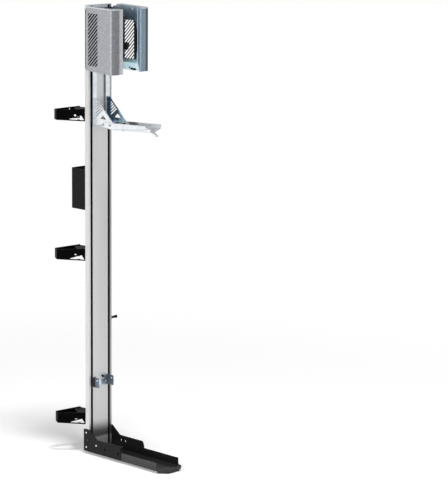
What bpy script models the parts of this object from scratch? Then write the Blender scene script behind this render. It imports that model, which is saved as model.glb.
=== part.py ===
# Swivel bike wall mount: a slotted aluminium column that turns on three wall brackets, with a
# wheel head and a support arm on a carriage that slides down the column, and a wheel tray below.
# Metres, +Z up. The origin is the middle of the middle bracket's wall face.
import math

import bmesh
import bpy
from mathutils import Matrix, Vector

# Clearances
GAP = 0.0003                # between faces that touch
SLIDE_GAP = 0.0004          # between a shoe and its slot
TURN_GAP = 0.0005           # around pins and drums that turn

# Wall brackets and swivel
WALL_TURN = math.radians(60)    # how far the column stands turned from straight out
REACH = 0.141               # wall face to swivel axis
BRACKET_Z = {"top": 1.445, "middle": 0.855, "bottom": 0.147}   # heights above the floor
WALL_PLATE_W = 0.042
WALL_PLATE_H = 0.042
WALL_HOLE_R = 0.0032
WALL_HOLE_Z = 0.011         # above and below the plate's middle
BRACKET_T = 0.004
WING_W = 0.112              # width over the side plates at their free end
WING_H = 0.052
WING_STOP = 0.026           # free end of the side plates, measured back from the axis
WING_LEG = 0.0046           # strip left under the side plate's window
WING_HOLE_R = 0.0046
WING_HOLE_H = 0.023         # hole's centre above the lower edge
HOOD_W = 0.013              # inward lip on the side plate's upper edge, at its free end
HOOD_T = 0.0026
TONGUE_R = 0.017            # rounded end of the two tongues, around the pin
TONGUE_Z = -0.001           # underside of the lower tongue, from the bracket's middle
TONGUE_PITCH = 0.0195       # lower tongue to upper tongue
TONGUE_RUN = 0.030          # how far the tongues reach back between the side plates
PIN_R = 0.005
PIN_HEAD_R = 0.0085
PIN_HEAD_H = 0.0035
PIN_END = 0.0045            # pin below the lower tongue
KNUCKLE_R = 0.012
KNUCKLE_W = 0.018
KNUCKLE_FOOT_W = 0.058
KNUCKLE_FOOT_H = 0.039
KNUCKLE_FOOT_T = 0.004
BUSH_T = 0.0018
AXIS_BACK = 0.050           # column's back face to the swivel axis

# Column
COLUMN_W = 0.128
COLUMN_D = 0.0226
COLUMN_LOW = 0.024
COLUMN_TOP = 1.902
SLOT_INSET = 0.0155         # slot's centre from the column's side
SLOT_W = 0.012
SLOT_ROOM_W = 0.019
SLOT_LIP = 0.003
SLOT_ROOM_D = 0.009
CORE_WALL = 0.004           # between a slot's room and the hollow core
CORE_RIB = 0.0022
SKIN = 0.0028
SIDE_GROOVE_W = 0.003
SIDE_GROOVE_D = 0.0010
CAP_T = 0.003
CAP_INSET = 0.0005
CAP_PLUG_H = 0.012
CAP_PLUG_GAP = 0.0006

# Base
TRAY_W = COLUMN_W           # over the tray's outer walls, which lie between the side plates
TRAY_T = 0.0022
TRAY_RIM_Z = 0.044
TRAY_BEND_Z = 0.010
TRAY_BACK_U = -0.030
TRAY_FRONT_U = 0.411
NOSE_RUN = 0.040            # how far the nose stands out past the walls
NOSE_W = 0.062
NOSE_LIP_H = 0.012
PLATE_T = 0.0025
PLATE_BACK_U = -0.032
PLATE_BACK_Z = 0.107
PLATE_SHOULDER_U = 0.004
PLATE_KNEE_U = 0.0525
PLATE_KNEE_Z = 0.0712
PLATE_FRONT_U = 0.197
PLATE_LOW_Z = 0.0115
PLATE_TAB = 0.013           # small tab at the left plate's upper front corner
PLATE_TAB_H = 0.004
PLATE_STEP_U = 0.009        # cut corner at the right plate's upper front
PLATE_STEP_Z = 0.019
BASE_HOLE_R = 0.0036
TRAY_SCREW_U = 0.099
TRAY_SCREW_PITCH = 0.083
TRAY_SCREW_DROP = 0.0055    # screw centres below the tray's rim
COLUMN_SCREW_Z = 0.060
SCREW_R = 0.0026
SCREW_HEAD_R = 0.0048
SCREW_HEAD_H = 0.0028
SCREW_LENGTH = 0.008

# Lift spring housing on the column's back
HOUSING_W = 0.100
HOUSING_D = 0.1015
HOUSING_LOW = 1.045
HOUSING_TOP = 1.2165
HOUSING_T = 0.0025
PEEP_R = 0.004
PEEP_DROP = 0.020
DRUM_H = 0.077              # drum's centre above the housing's lower edge
DRUM_R = 0.036
DRUM_W = 0.060
FLANGE_T = 0.003
FLANGE_H = 0.006            # how far a drum flange stands over the wound spring
AXLE_R = 0.005

# Rear wheel guide
GUIDE_LOW = 0.290
GUIDE_H = 0.043
GUIDE_HALF = 0.040
GUIDE_DEEP = 0.037
GUIDE_T = 0.002
GUIDE_ARM_IN = 0.022        # inner edge of the web's upright arms
GUIDE_NOTCH_TOP = 0.018
GUIDE_NOTCH_LOW = 0.004
GUIDE_SCREW_V = 0.0285
GUIDE_HOLE_R = 0.0048

# Lock knob on the column's side
KNOB_Z = 0.573
KNOB_PLATE_H = 0.037
KNOB_PLATE_T = 0.002
KNOB_R = 0.0066
KNOB_LENGTH = 0.041
KNOB_SOCKET = 0.0095
PLUNGER_R = 0.003

# Head: its heights hang from the column's top
HEAD_DROP = 0.002           # column's top down to the head's upper edge
HEAD_H = 0.261
HEAD_TOP = COLUMN_TOP - HEAD_DROP
HEAD_LOW = HEAD_TOP - HEAD_H
HEAD_HALF = 0.103
HEAD_BACK = 0.024
HEAD_FRONT = 0.184
HEAD_T = 0.0016
HEAD_FLANGE_IN = 0.070      # inner edge of the shell's back flange
FACET_W = 0.016             # slanted facet between the outer wall and the front
FACET_D = 0.005
LIP_V = 0.0570              # outer face of the return lip, beside the wheel gap
LIP_DEEP = 0.012
LOUVRE_BACK = 0.040
LOUVRE_FRONT = 0.0975
LOUVRE_SILL = 0.022         # head's lower edge up to the louvres
LOUVRE_HEAD = 0.023         # head's upper edge down to the louvres
LOUVRE_PITCH = 0.0156
LOUVRE_OPEN = 0.0078
LOUVRE_SLOPE = math.tan(math.radians(44))
INNER_T = 0.0016
INNER_V = 0.0480
INNER_FRONT = 0.1775        # front edge of the flat wall, where the roll starts
INNER_FLANGE_OUT = 0.084
ROLL_IN = 0.0075            # how far the rolled front edge leans toward the wheel
ROLL_RUN = 0.0055
FLARE_H = 0.033
FLARE_OUT = LIP_V - INNER_V - INNER_T - 2 * GAP    # foot of the wall leans out to the lip
EDGE_DROP = 0.001           # head's edge to the edge of the inner wall
WINDOW_BACK = 0.0955
WINDOW_FRONT = 0.1575
WINDOW_SILL = 0.049         # head's lower edge up to the window
WINDOW_DROP = 0.053         # head's upper edge down to the window
WINDOW_ARCH = 0.014
WINDOW_LOW = HEAD_LOW + WINDOW_SILL
WINDOW_TOP = HEAD_TOP - WINDOW_DROP
PAD_T = 0.0030
PAD_RIM_BACK = 0.0065       # width of the pad's frame round the window
PAD_RIM_FRONT = 0.008
PAD_RIM_LOW = 0.006
PAD_RIM_TOP = 0.013
PAD_CORNER = 0.006
PAD_ARCH = 0.020
PAD_STEP = 0.010            # how far the pad's middle stands out in front
PAD_STEP_SILL = 0.0415
PAD_STEP_DROP = 0.052
PAD_STEP_SLANT = 0.008

# Carriage: two strips on shoes, which carry the head and, below it, the arm
STRIP_W = 0.0235
STRIP_SHIFT = 0.001         # strip's outer edge, inward from the slot's centre
STRIP_U = 0.0080            # front face of the strips
STRIP_T = 0.0025
STRIP_DROP = 0.020          # head's upper edge down to the strips' upper end
SHOE_H = 0.046
SHOE_LOW_H = 0.025          # strip's lower end up to the lower shoe's middle
SHOE_TOP_DROP = 0.040       # strip's upper end down to the upper shoe's middle
CARRIAGE_T = 0.0020
CARRIAGE_SILL = 0.011
CARRIAGE_DROP = 0.008
CARRIAGE_STEP_V = 0.054     # where the plate starts to step forward
CARRIAGE_STEP_W = 0.008
HOOK_H = 0.097              # head's lower edge up to the hook
HOOK_ROD_R = 0.0045
HOOK_REACH = 0.166
HOOK_RISE = 0.020
HOOK_BEND = 0.014
HOOK_FOOT_W = 0.032
HOOK_FOOT_H = 0.040
HOOK_FOOT_T = 0.005
SLEEVE_R = 0.0080
SLEEVE_START = 0.120
SLEEVE_END = 0.004

# Support arm and its gussets
GUSSET_DROP = 0.118         # head's lower edge down to the gussets' upper end
GUSSET_H = 0.114
GUSSET_SHIFT = 0.0057       # gusset's outer face, inward from the strip's outer edge
GUSSET_T = 0.0018
GUSSET_TOP_W = 0.008
GUSSET_TIP_U = 0.1175
GUSSET_TIP_H = 0.0192       # above the gusset's lower edge
GUSSET_TIP_T = 0.006
GUSSET_NOSE = 0.010
GUSSET_NOTCH_U = 0.0555     # the lower edge rises to this notch behind the arm's end
GUSSET_NOTCH_H = 0.0085
GUSSET_FLANGE_IN = 0.030
GUSSET_HEM = 0.005
GUSSET_BAR_H = 0.018
GUSSET_SLOTS = 4
GUSSET_SLOT_H = 0.0335
GUSSET_SLOT_PITCH = 0.0135
GUSSET_SLOT_OPEN = 0.0065
GUSSET_SLOT_IN = 0.009
GUSSET_RIM = 0.009          # strip left along the long edge
TRIANGLE_U = 0.0430
TRIANGLE_W = 0.0355
TRIANGLE_H = 0.0152
TRIANGLE_Z = 0.0293         # above the gusset's lower edge
ARM_T = 0.0016
ARM_BOLT_U = 0.0670
ARM_BOLT_PITCH = 0.0410
ARM_BOLT_H = 0.0080         # rear bolt above the gusset's lower edge
ARM_SLOPE = 0.0375
ARM_END_R = 0.0115          # rounded rear end of the walls, about the rear bolt
ARM_UP = 0.0096             # wall over the bolts' line
ARM_LOW_U = 0.1230          # where the wall is deepest
ARM_LOW_DOWN = 0.0182
ARM_FRONT_U = 0.3200
ARM_FRONT_DOWN = 0.0069
RIDGE_LOW_DOWN = 0.0209     # floor's centre line under the bolts' line
RIDGE_FRONT_DOWN = 0.0234
ARM_FLOOR_U = 0.1000        # where the trough's floor starts
TONGUE_W = 0.020
TONGUE_OUT = 0.020
TONGUE_DROP = 0.0115
BOLT_R = 0.003
BOLT_HEAD_R = 0.0055
BOLT_HEAD_H = 0.0032
SPACER_R = 0.0065
SPACER_T = 0.0008           # washer between a gusset and the arm's wall

# Places that follow from the sizes
FLOOR_Z = -BRACKET_Z["middle"]
OUT = Vector((math.sin(WALL_TURN), -math.cos(WALL_TURN), 0))    # from the wall to the axis
AXIS = OUT * REACH
FRONT_Y = -(AXIS_BACK + COLUMN_D)   # column's front face, seen from the swivel axis
SLOT_V = COLUMN_W / 2 - SLOT_INSET  # slot's centre from the middle of the face
CORE_W = 2 * (SLOT_V - SLOT_ROOM_W / 2 - CORE_WALL)
STRIP_OUT = SLOT_V - STRIP_SHIFT
STRIP_IN = STRIP_OUT - STRIP_W
GUSSET_V = STRIP_OUT - GUSSET_SHIFT
ARM_HALF = GUSSET_V + SPACER_T + 2 * GAP + ARM_T
DRUM_Z = HOUSING_LOW + DRUM_H
GUSSET_BACK = STRIP_U + GAP
GUSSET_TOP = HEAD_LOW - GUSSET_DROP
GUSSET_LOW = GUSSET_TOP - GUSSET_H
STRIP_LOW = GUSSET_LOW + GAP
STRIP_TOP = HEAD_TOP - STRIP_DROP
HOOK_Z = HEAD_LOW + HOOK_H
CARRIAGE_FACE = STRIP_U + GAP + CARRIAGE_T   # front face of the carriage plate's middle


# Scene, materials and objects

def clear_scene():
    for thing in list(bpy.data.objects):
        bpy.data.objects.remove(thing, do_unlink=True)


def finish(name, colour, roughness, metallic):
    material = bpy.data.materials.new(name)
    material.use_nodes = True
    shader = material.node_tree.nodes["Principled BSDF"]
    shader.inputs["Base Color"].default_value = (*colour, 1)
    shader.inputs["Roughness"].default_value = roughness
    shader.inputs["Metallic"].default_value = metallic
    material.diffuse_color = (*colour, 1)
    return material


def make_finishes():
    return {
        "black_steel": finish("black_steel", (0.012, 0.012, 0.013), 0.45, 0.0),
        "base_black": finish("base_black", (0.030, 0.030, 0.032), 0.42, 0.0),
        "aluminium": finish("aluminium", (0.72, 0.72, 0.73), 0.34, 1.0),
        "silver_coat": finish("silver_coat", (0.40, 0.40, 0.42), 0.50, 0.35),
        "zinc": finish("zinc", (0.74, 0.77, 0.80), 0.26, 1.0),
        "guide_zinc": finish("guide_zinc", (0.44, 0.50, 0.56), 0.36, 1.0),
        "charcoal": finish("charcoal", (0.024, 0.024, 0.026), 0.55, 0.0),
        "black_plastic": finish("black_plastic", (0.010, 0.010, 0.011), 0.50, 0.0),
        "rubber": finish("rubber", (0.008, 0.008, 0.008), 0.75, 0.0),
        "steel": finish("steel", (0.60, 0.60, 0.61), 0.30, 1.0),
        "screw_black": finish("screw_black", (0.015, 0.015, 0.016), 0.40, 0.6),
        "spring_steel": finish("spring_steel", (0.30, 0.31, 0.33), 0.30, 1.0),
    }


def empty(name, location, parent=None):
    marker = bpy.data.objects.new(name, None)
    marker.location = location
    marker.empty_display_size = 0.05
    marker.parent = parent
    bpy.context.collection.objects.link(marker)
    return marker


def make_object(name, bm, material, parent, location=(0, 0, 0), turn=0.0, smooth=30):
    bmesh.ops.remove_doubles(bm, verts=bm.verts, dist=0.000005)
    bmesh.ops.recalc_face_normals(bm, faces=bm.faces)
    mesh = bpy.data.meshes.new(name)
    bm.to_mesh(mesh)
    bm.free()
    mesh.materials.append(material)
    thing = bpy.data.objects.new(name, mesh)
    bpy.context.collection.objects.link(thing)
    thing.location = location
    thing.rotation_euler = (0, 0, turn)
    thing.parent = parent
    mesh.shade_smooth()
    mesh.set_sharp_from_angle(angle=math.radians(smooth))
    return thing


# Shapes

def arc(centre, radius, start, end, steps):
    return [(centre[0] + radius * math.cos(math.radians(start + (end - start) * k / steps)),
             centre[1] + radius * math.sin(math.radians(start + (end - start) * k / steps)))
            for k in range(steps + 1)]


def circle(centre, radius, steps=16):
    return arc(centre, radius, 0, 360, steps)[:-1]


def rounded(points, radius, steps=3, closed=True):
    """The outline with each corner replaced by an arc-like fillet."""
    result = []
    count = len(points)
    for k, corner in enumerate(points):
        if not closed and k in (0, count - 1):
            result.append(corner)
            continue
        here = Vector(corner)
        before = Vector(points[k - 1]) - here
        after = Vector(points[(k + 1) % count]) - here
        opening = before.angle(after)
        cut = radius / math.tan(opening / 2)
        cut = min(cut, before.length * 0.45, after.length * 0.45)
        start = here + before.normalized() * cut
        end = here + after.normalized() * cut
        for step in range(steps + 1):
            t = step / steps
            spot = start * (1 - t) ** 2 + here * 2 * t * (1 - t) + end * t ** 2
            result.append((spot.x, spot.y))
    return result


def band(points, thickness):
    """Closed outline of a bent sheet whose centre line runs through the points."""
    line = [Vector(p) for p in points]
    left = []
    right = []
    for k, spot in enumerate(line):
        ahead = (line[min(k + 1, len(line) - 1)] - line[max(k, 0)])
        behind = (line[k] - line[max(k - 1, 0)])
        ahead = ahead.normalized() if ahead.length > 0 else behind.normalized()
        behind = behind.normalized() if behind.length > 0 else ahead
        middle = (ahead + behind).normalized()
        normal = Vector((-middle.y, middle.x))
        stretch = 1 / max(normal.dot(Vector((-ahead.y, ahead.x))), 0.3)
        left.append(tuple(spot + normal * thickness / 2 * stretch))
        right.append(tuple(spot - normal * thickness / 2 * stretch))
    return left + right[::-1]


def clip_to_box(outline, low, high):
    """The part of a convex outline that lies inside a box."""
    for axis in (0, 1):
        for edge, sign in ((low[axis], 1), (high[axis], -1)):
            kept = []
            for k, here in enumerate(outline):
                before = outline[k - 1]
                inside = sign * (here[axis] - edge) >= 0
                was_inside = sign * (before[axis] - edge) >= 0
                if inside != was_inside:
                    t = (edge - before[axis]) / (here[axis] - before[axis])
                    kept.append((before[0] + t * (here[0] - before[0]), before[1] + t * (here[1] - before[1])))
                if inside:
                    kept.append(here)
            outline = kept
            if not outline:
                return []
    return outline


def spot_on(axis, first, second, depth):
    """A point given by its two outline coordinates and its depth along an axis."""
    if axis == "x":
        return Vector((depth, first, second))
    if axis == "y":
        return Vector((first, depth, second))
    return Vector((first, second, depth))


def add_plate(bm, outline, low, high, axis, holes=()):
    """Adds a flat solid with the outline, and its holes, between two depths along an axis."""
    edges = []
    for loop in (outline, *holes):
        verts = [bm.verts.new(spot_on(axis, a, b, low)) for a, b in loop]
        edges += [bm.edges.new((verts[k - 1], verts[k])) for k in range(len(verts))]
    filled = bmesh.ops.triangle_fill(bm, use_beauty=True, use_dissolve=False, edges=edges)
    faces = [f for f in filled["geom"] if isinstance(f, bmesh.types.BMFace)]
    raised = bmesh.ops.extrude_face_region(bm, geom=faces)
    moved = [v for v in raised["geom"] if isinstance(v, bmesh.types.BMVert)]
    bmesh.ops.translate(bm, vec=spot_on(axis, 0, 0, high - low), verts=moved)


def linear(at, first, second):
    """Height at a place on the line through two (place, height) pairs."""
    share = (at - first[0]) / (second[0] - first[0])
    return first[1] + share * (second[1] - first[1])


def add_turned(bm, profile, centre, axis, segments=20):
    """Adds the solid that a profile of (radius, height) pairs makes as it turns about an axis."""
    rings = []
    for radius, height in profile:
        spots = circle((0, 0), radius, segments) if radius > 1e-6 else [(0, 0)]
        rings.append([bm.verts.new(Vector(centre) + spot_on(axis, a, b, height)) for a, b in spots])
    for lower, upper in zip(rings, rings[1:]):
        for k in range(segments):
            corners = [lower[k % len(lower)], lower[(k + 1) % len(lower)],
                       upper[(k + 1) % len(upper)], upper[k % len(upper)]]
            corners = [v for n, v in enumerate(corners) if v not in corners[:n]]
            bm.faces.new(corners)
    for ring in (rings[0], rings[-1]):
        if len(ring) > 2:
            bm.faces.new(ring)


def add_loft(bm, outlines):
    """Adds the solid skinned over closed outlines that have the same number of points."""
    rings = [[bm.verts.new(spot) for spot in outline] for outline in outlines]
    for lower, upper in zip(rings, rings[1:]):
        for k in range(len(lower)):
            after = (k + 1) % len(lower)
            bm.faces.new((lower[k], lower[after], upper[after], upper[k]))
    bm.faces.new(rings[0])
    bm.faces.new(rings[-1])
    bmesh.ops.triangulate(bm, faces=bm.faces)


def add_block(bm, low, high):
    """Adds a block between two corners."""
    outline = [(low[0], low[1]), (high[0], low[1]), (high[0], high[1]), (low[0], high[1])]
    add_plate(bm, outline, low[2], high[2], "z")


def combine(parts, operation="UNION"):
    """The first mesh joined with, or cut by, each of the others, as one closed mesh."""
    things = []
    for k, bm in enumerate(parts):
        bmesh.ops.recalc_face_normals(bm, faces=bm.faces)
        mesh = bpy.data.meshes.new(f"shape_{k}")
        bm.to_mesh(mesh)
        bm.free()
        thing = bpy.data.objects.new(f"shape_{k}", mesh)
        bpy.context.collection.objects.link(thing)
        things.append(thing)
    for tool in things[1:]:
        step = things[0].modifiers.new("join", "BOOLEAN")
        step.operation = operation
        step.solver = "EXACT"
        step.object = tool
    bpy.context.view_layer.update()
    shaped = things[0].evaluated_get(bpy.context.evaluated_depsgraph_get())
    result = bmesh.new()
    result.from_mesh(shaped.to_mesh())
    shaped.to_mesh_clear()
    for thing in things:
        mesh = thing.data
        bpy.data.objects.remove(thing, do_unlink=True)
        bpy.data.meshes.remove(mesh)
    return result


def solid(build, *arguments, **options):
    """A new mesh holding one added shape."""
    bm = bmesh.new()
    build(bm, *arguments, **options)
    return bm


def screw(name, at, outward, length, material, parent, radius=SCREW_R, head_r=SCREW_HEAD_R, head_h=SCREW_HEAD_H,
          axis="x", sides=12):
    """A pan head screw whose head stands out of a face and whose shank goes into it."""
    profile = [(0, -length), (radius, -length), (radius, GAP), (head_r, GAP),
               (head_r, head_h * 0.55), (head_r * 0.72, head_h * 0.92), (head_r * 0.35, head_h),
               (head_r * 0.30, head_h * 0.55), (0, head_h * 0.55)]
    bm = solid(add_turned, [(r, h * outward) for r, h in profile], (0, 0, 0), axis, sides)
    return make_object(name, bm, material, parent, at)


# Wall brackets: seen from the swivel axis, the wall lies at +Y

def wing_half(back):
    """Half the distance between the side plates' middles, so far back from their free end."""
    at_end = (WING_W - BRACKET_T) / 2
    at_wall = (WALL_PLATE_W - BRACKET_T) / 2
    return linear(back, (0, at_end), (REACH - BRACKET_T / 2 - WING_STOP, at_wall))


def tongue_plan():
    """Plan of a tongue: between the side plates, then tapering to a round end about the pin."""
    wide = wing_half(0)
    reach = math.degrees(math.asin(TONGUE_R / math.hypot(wide, WING_STOP)))
    side = math.degrees(math.atan2(WING_STOP, wide))
    start = side - 90 + reach
    tip = arc((0, 0), TONGUE_R, start, -180 - start, 12)
    back = WING_STOP + TONGUE_RUN
    narrow = wing_half(TONGUE_RUN)
    return [(narrow, back), (wide, WING_STOP), *tip, (-wide, WING_STOP), (-narrow, back)]


def side_outline(top_hole):
    """Side plate seen flat: along it from the wall, and up from its middle."""
    run = math.hypot(REACH - BRACKET_T / 2 - WING_STOP, (WING_W - WALL_PLATE_W) / 2)
    low = [(0, -WALL_PLATE_H / 2), (run, -WING_H / 2)]

    def leg(share, rise=0.0):
        return (run * share, linear(run * share, *low) + WING_LEG + rise)

    outline = [*low, (run, WING_H / 2), (0, WALL_PLATE_H / 2)]
    window = rounded([leg(0.40), leg(0.71), leg(0.74, 0.002), leg(0.81, 0.002), leg(0.84), leg(0.97),
                      (run * 0.87, -0.002)], 0.0015, 2)
    spot = run * 0.65
    holes = [window, circle((spot, linear(spot, *low) + WING_HOLE_H), WING_HOLE_R, 12)]
    if top_hole:
        holes.append(circle((run * 0.59, WALL_PLATE_H / 2 - WING_HOLE_R), WING_HOLE_R * 0.7, 12))
    return outline, holes


def add_side_plate(bm, side, top_hole):
    outline, holes = side_outline(top_hole)
    add_plate(bm, outline, -BRACKET_T / 2, BRACKET_T / 2, "y", holes=holes)
    start = Vector(((WALL_PLATE_W - BRACKET_T) / 2 * side, REACH - BRACKET_T / 2, 0))
    end = Vector((wing_half(0) * side, WING_STOP, 0))
    along = (end - start).normalized()
    turn = Matrix.Rotation(math.atan2(along.y, along.x), 4, "Z")
    bmesh.ops.transform(bm, matrix=Matrix.Translation(start) @ turn, verts=bm.verts)


def add_hood(bm, side):
    """Inward lip on a side plate's upper edge, widest at the free end."""
    near = BRACKET_T / 2
    far = (REACH - WING_STOP) * 0.72
    outline = [(side * wing_half(near), WING_STOP + near), (side * (wing_half(near) - HOOD_W), WING_STOP + near),
               (side * wing_half(far), WING_STOP + far)]
    top = WING_H / 2 - BRACKET_T / 4
    add_plate(bm, outline, top - HOOD_T, top, "z")
    fall = (WING_H - WALL_PLATE_H) / 2 / (REACH - BRACKET_T / 2 - WING_STOP)
    for vert in bm.verts:
        vert.co.z -= (vert.co.y - WING_STOP) * fall


def wall_bracket(name, z, material, top_hole=False):
    """Bent and welded steel: wall plate, two pierced side plates, and two tongues for the pin."""
    pin_hole = circle((0, 0), PIN_R + GAP, 16)
    parts = [solid(add_block, (-WALL_PLATE_W / 2, REACH - BRACKET_T, -WALL_PLATE_H / 2),
                   (WALL_PLATE_W / 2, REACH, WALL_PLATE_H / 2))]
    parts += [solid(add_side_plate, side, top_hole) for side in (-1, 1)]
    parts += [solid(add_hood, side) for side in (-1, 1)]
    for low in (TONGUE_Z, TONGUE_Z + TONGUE_PITCH):
        parts.append(solid(add_plate, tongue_plan(), low, low + BRACKET_T, "z", holes=(pin_hole,)))
    joined = combine(parts)
    holes = bmesh.new()
    for height in (-WALL_HOLE_Z, WALL_HOLE_Z):
        add_turned(holes, [(WALL_HOLE_R, REACH - BRACKET_T * 2), (WALL_HOLE_R, REACH + BRACKET_T)],
                   (0, 0, height), "y", 12)
    bm = combine([joined, holes], "DIFFERENCE")
    return make_object(name, bm, material, None, (AXIS.x, AXIS.y, FLOOR_Z + z), WALL_TURN)


def pivot_pin(name, z, material):
    """Headed pin through the bracket's tongues and the column's knuckle."""
    edge = 0.001
    low = TONGUE_Z - PIN_END
    top = TONGUE_Z + TONGUE_PITCH + BRACKET_T + GAP
    crown = top + PIN_HEAD_H
    profile = [(0, low), (PIN_R - edge, low), (PIN_R, low + edge), (PIN_R, top), (PIN_HEAD_R, top),
               (PIN_HEAD_R, crown - edge), (PIN_HEAD_R - edge, crown), (0, crown)]
    bm = solid(add_turned, profile, (0, 0, 0), "z", 16)
    return make_object(name, bm, material, None, (AXIS.x, AXIS.y, FLOOR_Z + z))


# Column and its knuckles: the swivel empty stands on the axis, the column's frame in front of it

def bush_low():
    return TONGUE_Z + BRACKET_T + GAP


def knuckle(name, z, material, parent):
    """Barrel on a web and a foot plate, screwed to the column's back."""
    low = bush_low() + BUSH_T + GAP
    high = TONGUE_Z + TONGUE_PITCH - GAP
    back = -AXIS_BACK + GAP
    root = back + KNUCKLE_FOOT_T / 2
    half_foot = KNUCKLE_FOOT_W / 2
    half_high = KNUCKLE_FOOT_H / 2
    neck = KNUCKLE_R * 0.62
    barrel = solid(add_plate, circle((0, 0), KNUCKLE_R, 24), low, high, "z")
    web = solid(add_plate, [(-KNUCKLE_W / 2, root), (KNUCKLE_W / 2, root), (neck, 0), (-neck, 0)],
                low, high, "z")
    foot = solid(add_plate, rounded([(-half_foot, -half_high), (half_foot, -half_high), (half_foot, half_high),
                                     (-half_foot, half_high)], 0.004, 3), back, back + KNUCKLE_FOOT_T, "y")
    bore = PIN_R + TURN_GAP
    hole = solid(add_turned, [(bore, low - BRACKET_T), (bore, high + BRACKET_T)], (0, 0, 0), "z", 16)
    bm = combine([combine([barrel, web, foot]), hole], "DIFFERENCE")
    return make_object(name, bm, material, parent, (0, 0, FLOOR_Z + z))


def swivel_bush(name, z, material, parent):
    """Plastic thrust washer between the knuckle and the bracket's lower tongue."""
    bm = solid(add_plate, circle((0, 0), KNUCKLE_R, 24), bush_low(), bush_low() + BUSH_T, "z",
               holes=(circle((0, 0), PIN_R + TURN_GAP, 16),))
    return make_object(name, bm, material, parent, (0, 0, FLOOR_Z + z))


def column_outline():
    """Outer outline with the two front slots; the front faces -Y."""
    half = COLUMN_W / 2
    lip = SLOT_LIP
    deep = SLOT_LIP + SLOT_ROOM_D
    groove_y = COLUMN_D / 2
    outline = [(-half, 0)]
    for centre in (-SLOT_V, SLOT_V):
        left = centre - SLOT_W / 2
        right = centre + SLOT_W / 2
        room_left = centre - SLOT_ROOM_W / 2
        room_right = centre + SLOT_ROOM_W / 2
        outline += [(left, 0), (left, lip), (room_left, lip), (room_left, deep),
                    (room_right, deep), (room_right, lip), (right, lip), (right, 0)]
    outline.append((half, 0))
    outline += [(half, groove_y - SIDE_GROOVE_W / 2), (half - SIDE_GROOVE_D, groove_y),
                (half, groove_y + SIDE_GROOVE_W / 2), (half, COLUMN_D), (-half, COLUMN_D),
                (-half, groove_y + SIDE_GROOVE_W / 2), (-half + SIDE_GROOVE_D, groove_y),
                (-half, groove_y - SIDE_GROOVE_W / 2)]
    return outline


def column(material, parent):
    core_half = CORE_W / 2
    rib = CORE_RIB / 2
    chambers = [[(-core_half, SKIN), (-rib, SKIN), (-rib, COLUMN_D - SKIN), (-core_half, COLUMN_D - SKIN)],
                [(rib, SKIN), (core_half, SKIN), (core_half, COLUMN_D - SKIN), (rib, COLUMN_D - SKIN)]]
    bm = solid(add_plate, column_outline(), COLUMN_LOW, COLUMN_TOP, "z", holes=chambers)
    bore = PLUNGER_R + TURN_GAP
    hole = solid(add_turned, [(bore, COLUMN_W / 2 - SLOT_ROOM_W), (bore, COLUMN_W / 2 + SKIN)],
                 (0, COLUMN_D / 2, KNOB_Z), "x", 12)
    bm = combine([bm, hole], "DIFFERENCE")
    return make_object("column", bm, material, parent)


def column_cap(material, parent):
    """Plastic cover with two plugs that sit in the column's chambers."""
    half = COLUMN_W / 2 - CAP_INSET
    near = CAP_INSET
    far = COLUMN_D - CAP_INSET
    outline = rounded([(-half, near), (half, near), (half, far), (-half, far)], 0.002, 2)
    low = COLUMN_TOP + GAP
    parts = [solid(add_plate, outline, low, low + CAP_T, "z")]
    for side in (-1, 1):
        inner = side * (CORE_RIB / 2 + CAP_PLUG_GAP)
        outer = side * (CORE_W / 2 - CAP_PLUG_GAP)
        parts.append(solid(add_block, (min(inner, outer), SKIN + CAP_PLUG_GAP, low - CAP_PLUG_H),
                           (max(inner, outer), COLUMN_D - SKIN - CAP_PLUG_GAP, low + CAP_T / 2)))
    return make_object("column_top_cap", combine(parts), material, parent)


# Base

def side_plate(name, side, material, parent):
    """Stepped side plate, bolted to the column's side and the tray's wall."""
    tab_z = PLATE_KNEE_Z - PLATE_TAB_H
    if side < 0:
        corner = [(-PLATE_FRONT_U - PLATE_TAB, PLATE_KNEE_Z + PLATE_TAB_H / 2),
                  (-PLATE_FRONT_U - PLATE_TAB, PLATE_KNEE_Z - PLATE_TAB_H / 2), (-PLATE_FRONT_U, tab_z)]
        spots = [(-0.0155, 0.092), (-0.0155, 0.029), (0.047, 0.0467)]
    else:
        corner = [(-PLATE_FRONT_U + PLATE_STEP_U / 2, PLATE_KNEE_Z),
                  (-PLATE_FRONT_U - PLATE_STEP_U / 2, PLATE_KNEE_Z - PLATE_STEP_Z)]
        spots = [(0.0606, 0.0507), (0.0862, 0.0496)]
    outline = [(-PLATE_BACK_U, PLATE_LOW_Z), (-PLATE_BACK_U, PLATE_BACK_Z), (-PLATE_SHOULDER_U, PLATE_BACK_Z),
               (-PLATE_KNEE_U, PLATE_KNEE_Z), *corner, (corner[-1][0], PLATE_LOW_Z)]
    screws = [*tray_screw_spots(), (-COLUMN_D / 2, COLUMN_SCREW_Z)]
    holes = [circle((-u, z), BASE_HOLE_R, 12) for u, z in spots]
    holes += [circle((-u, z), SCREW_R + GAP, 12) for u, z in screws]
    inner = side * (COLUMN_W / 2 + GAP)
    outer = inner + side * PLATE_T
    bm = solid(add_plate, rounded(outline, 0.003, 3), min(inner, outer), max(inner, outer), "x", holes=holes)
    return make_object(name, bm, material, parent)


def tray_screw_spots():
    z = TRAY_RIM_Z - TRAY_SCREW_DROP
    return [(TRAY_SCREW_U, z), (TRAY_SCREW_U + TRAY_SCREW_PITCH, z)]


def nose_y():
    return -TRAY_FRONT_U - NOSE_RUN


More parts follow.
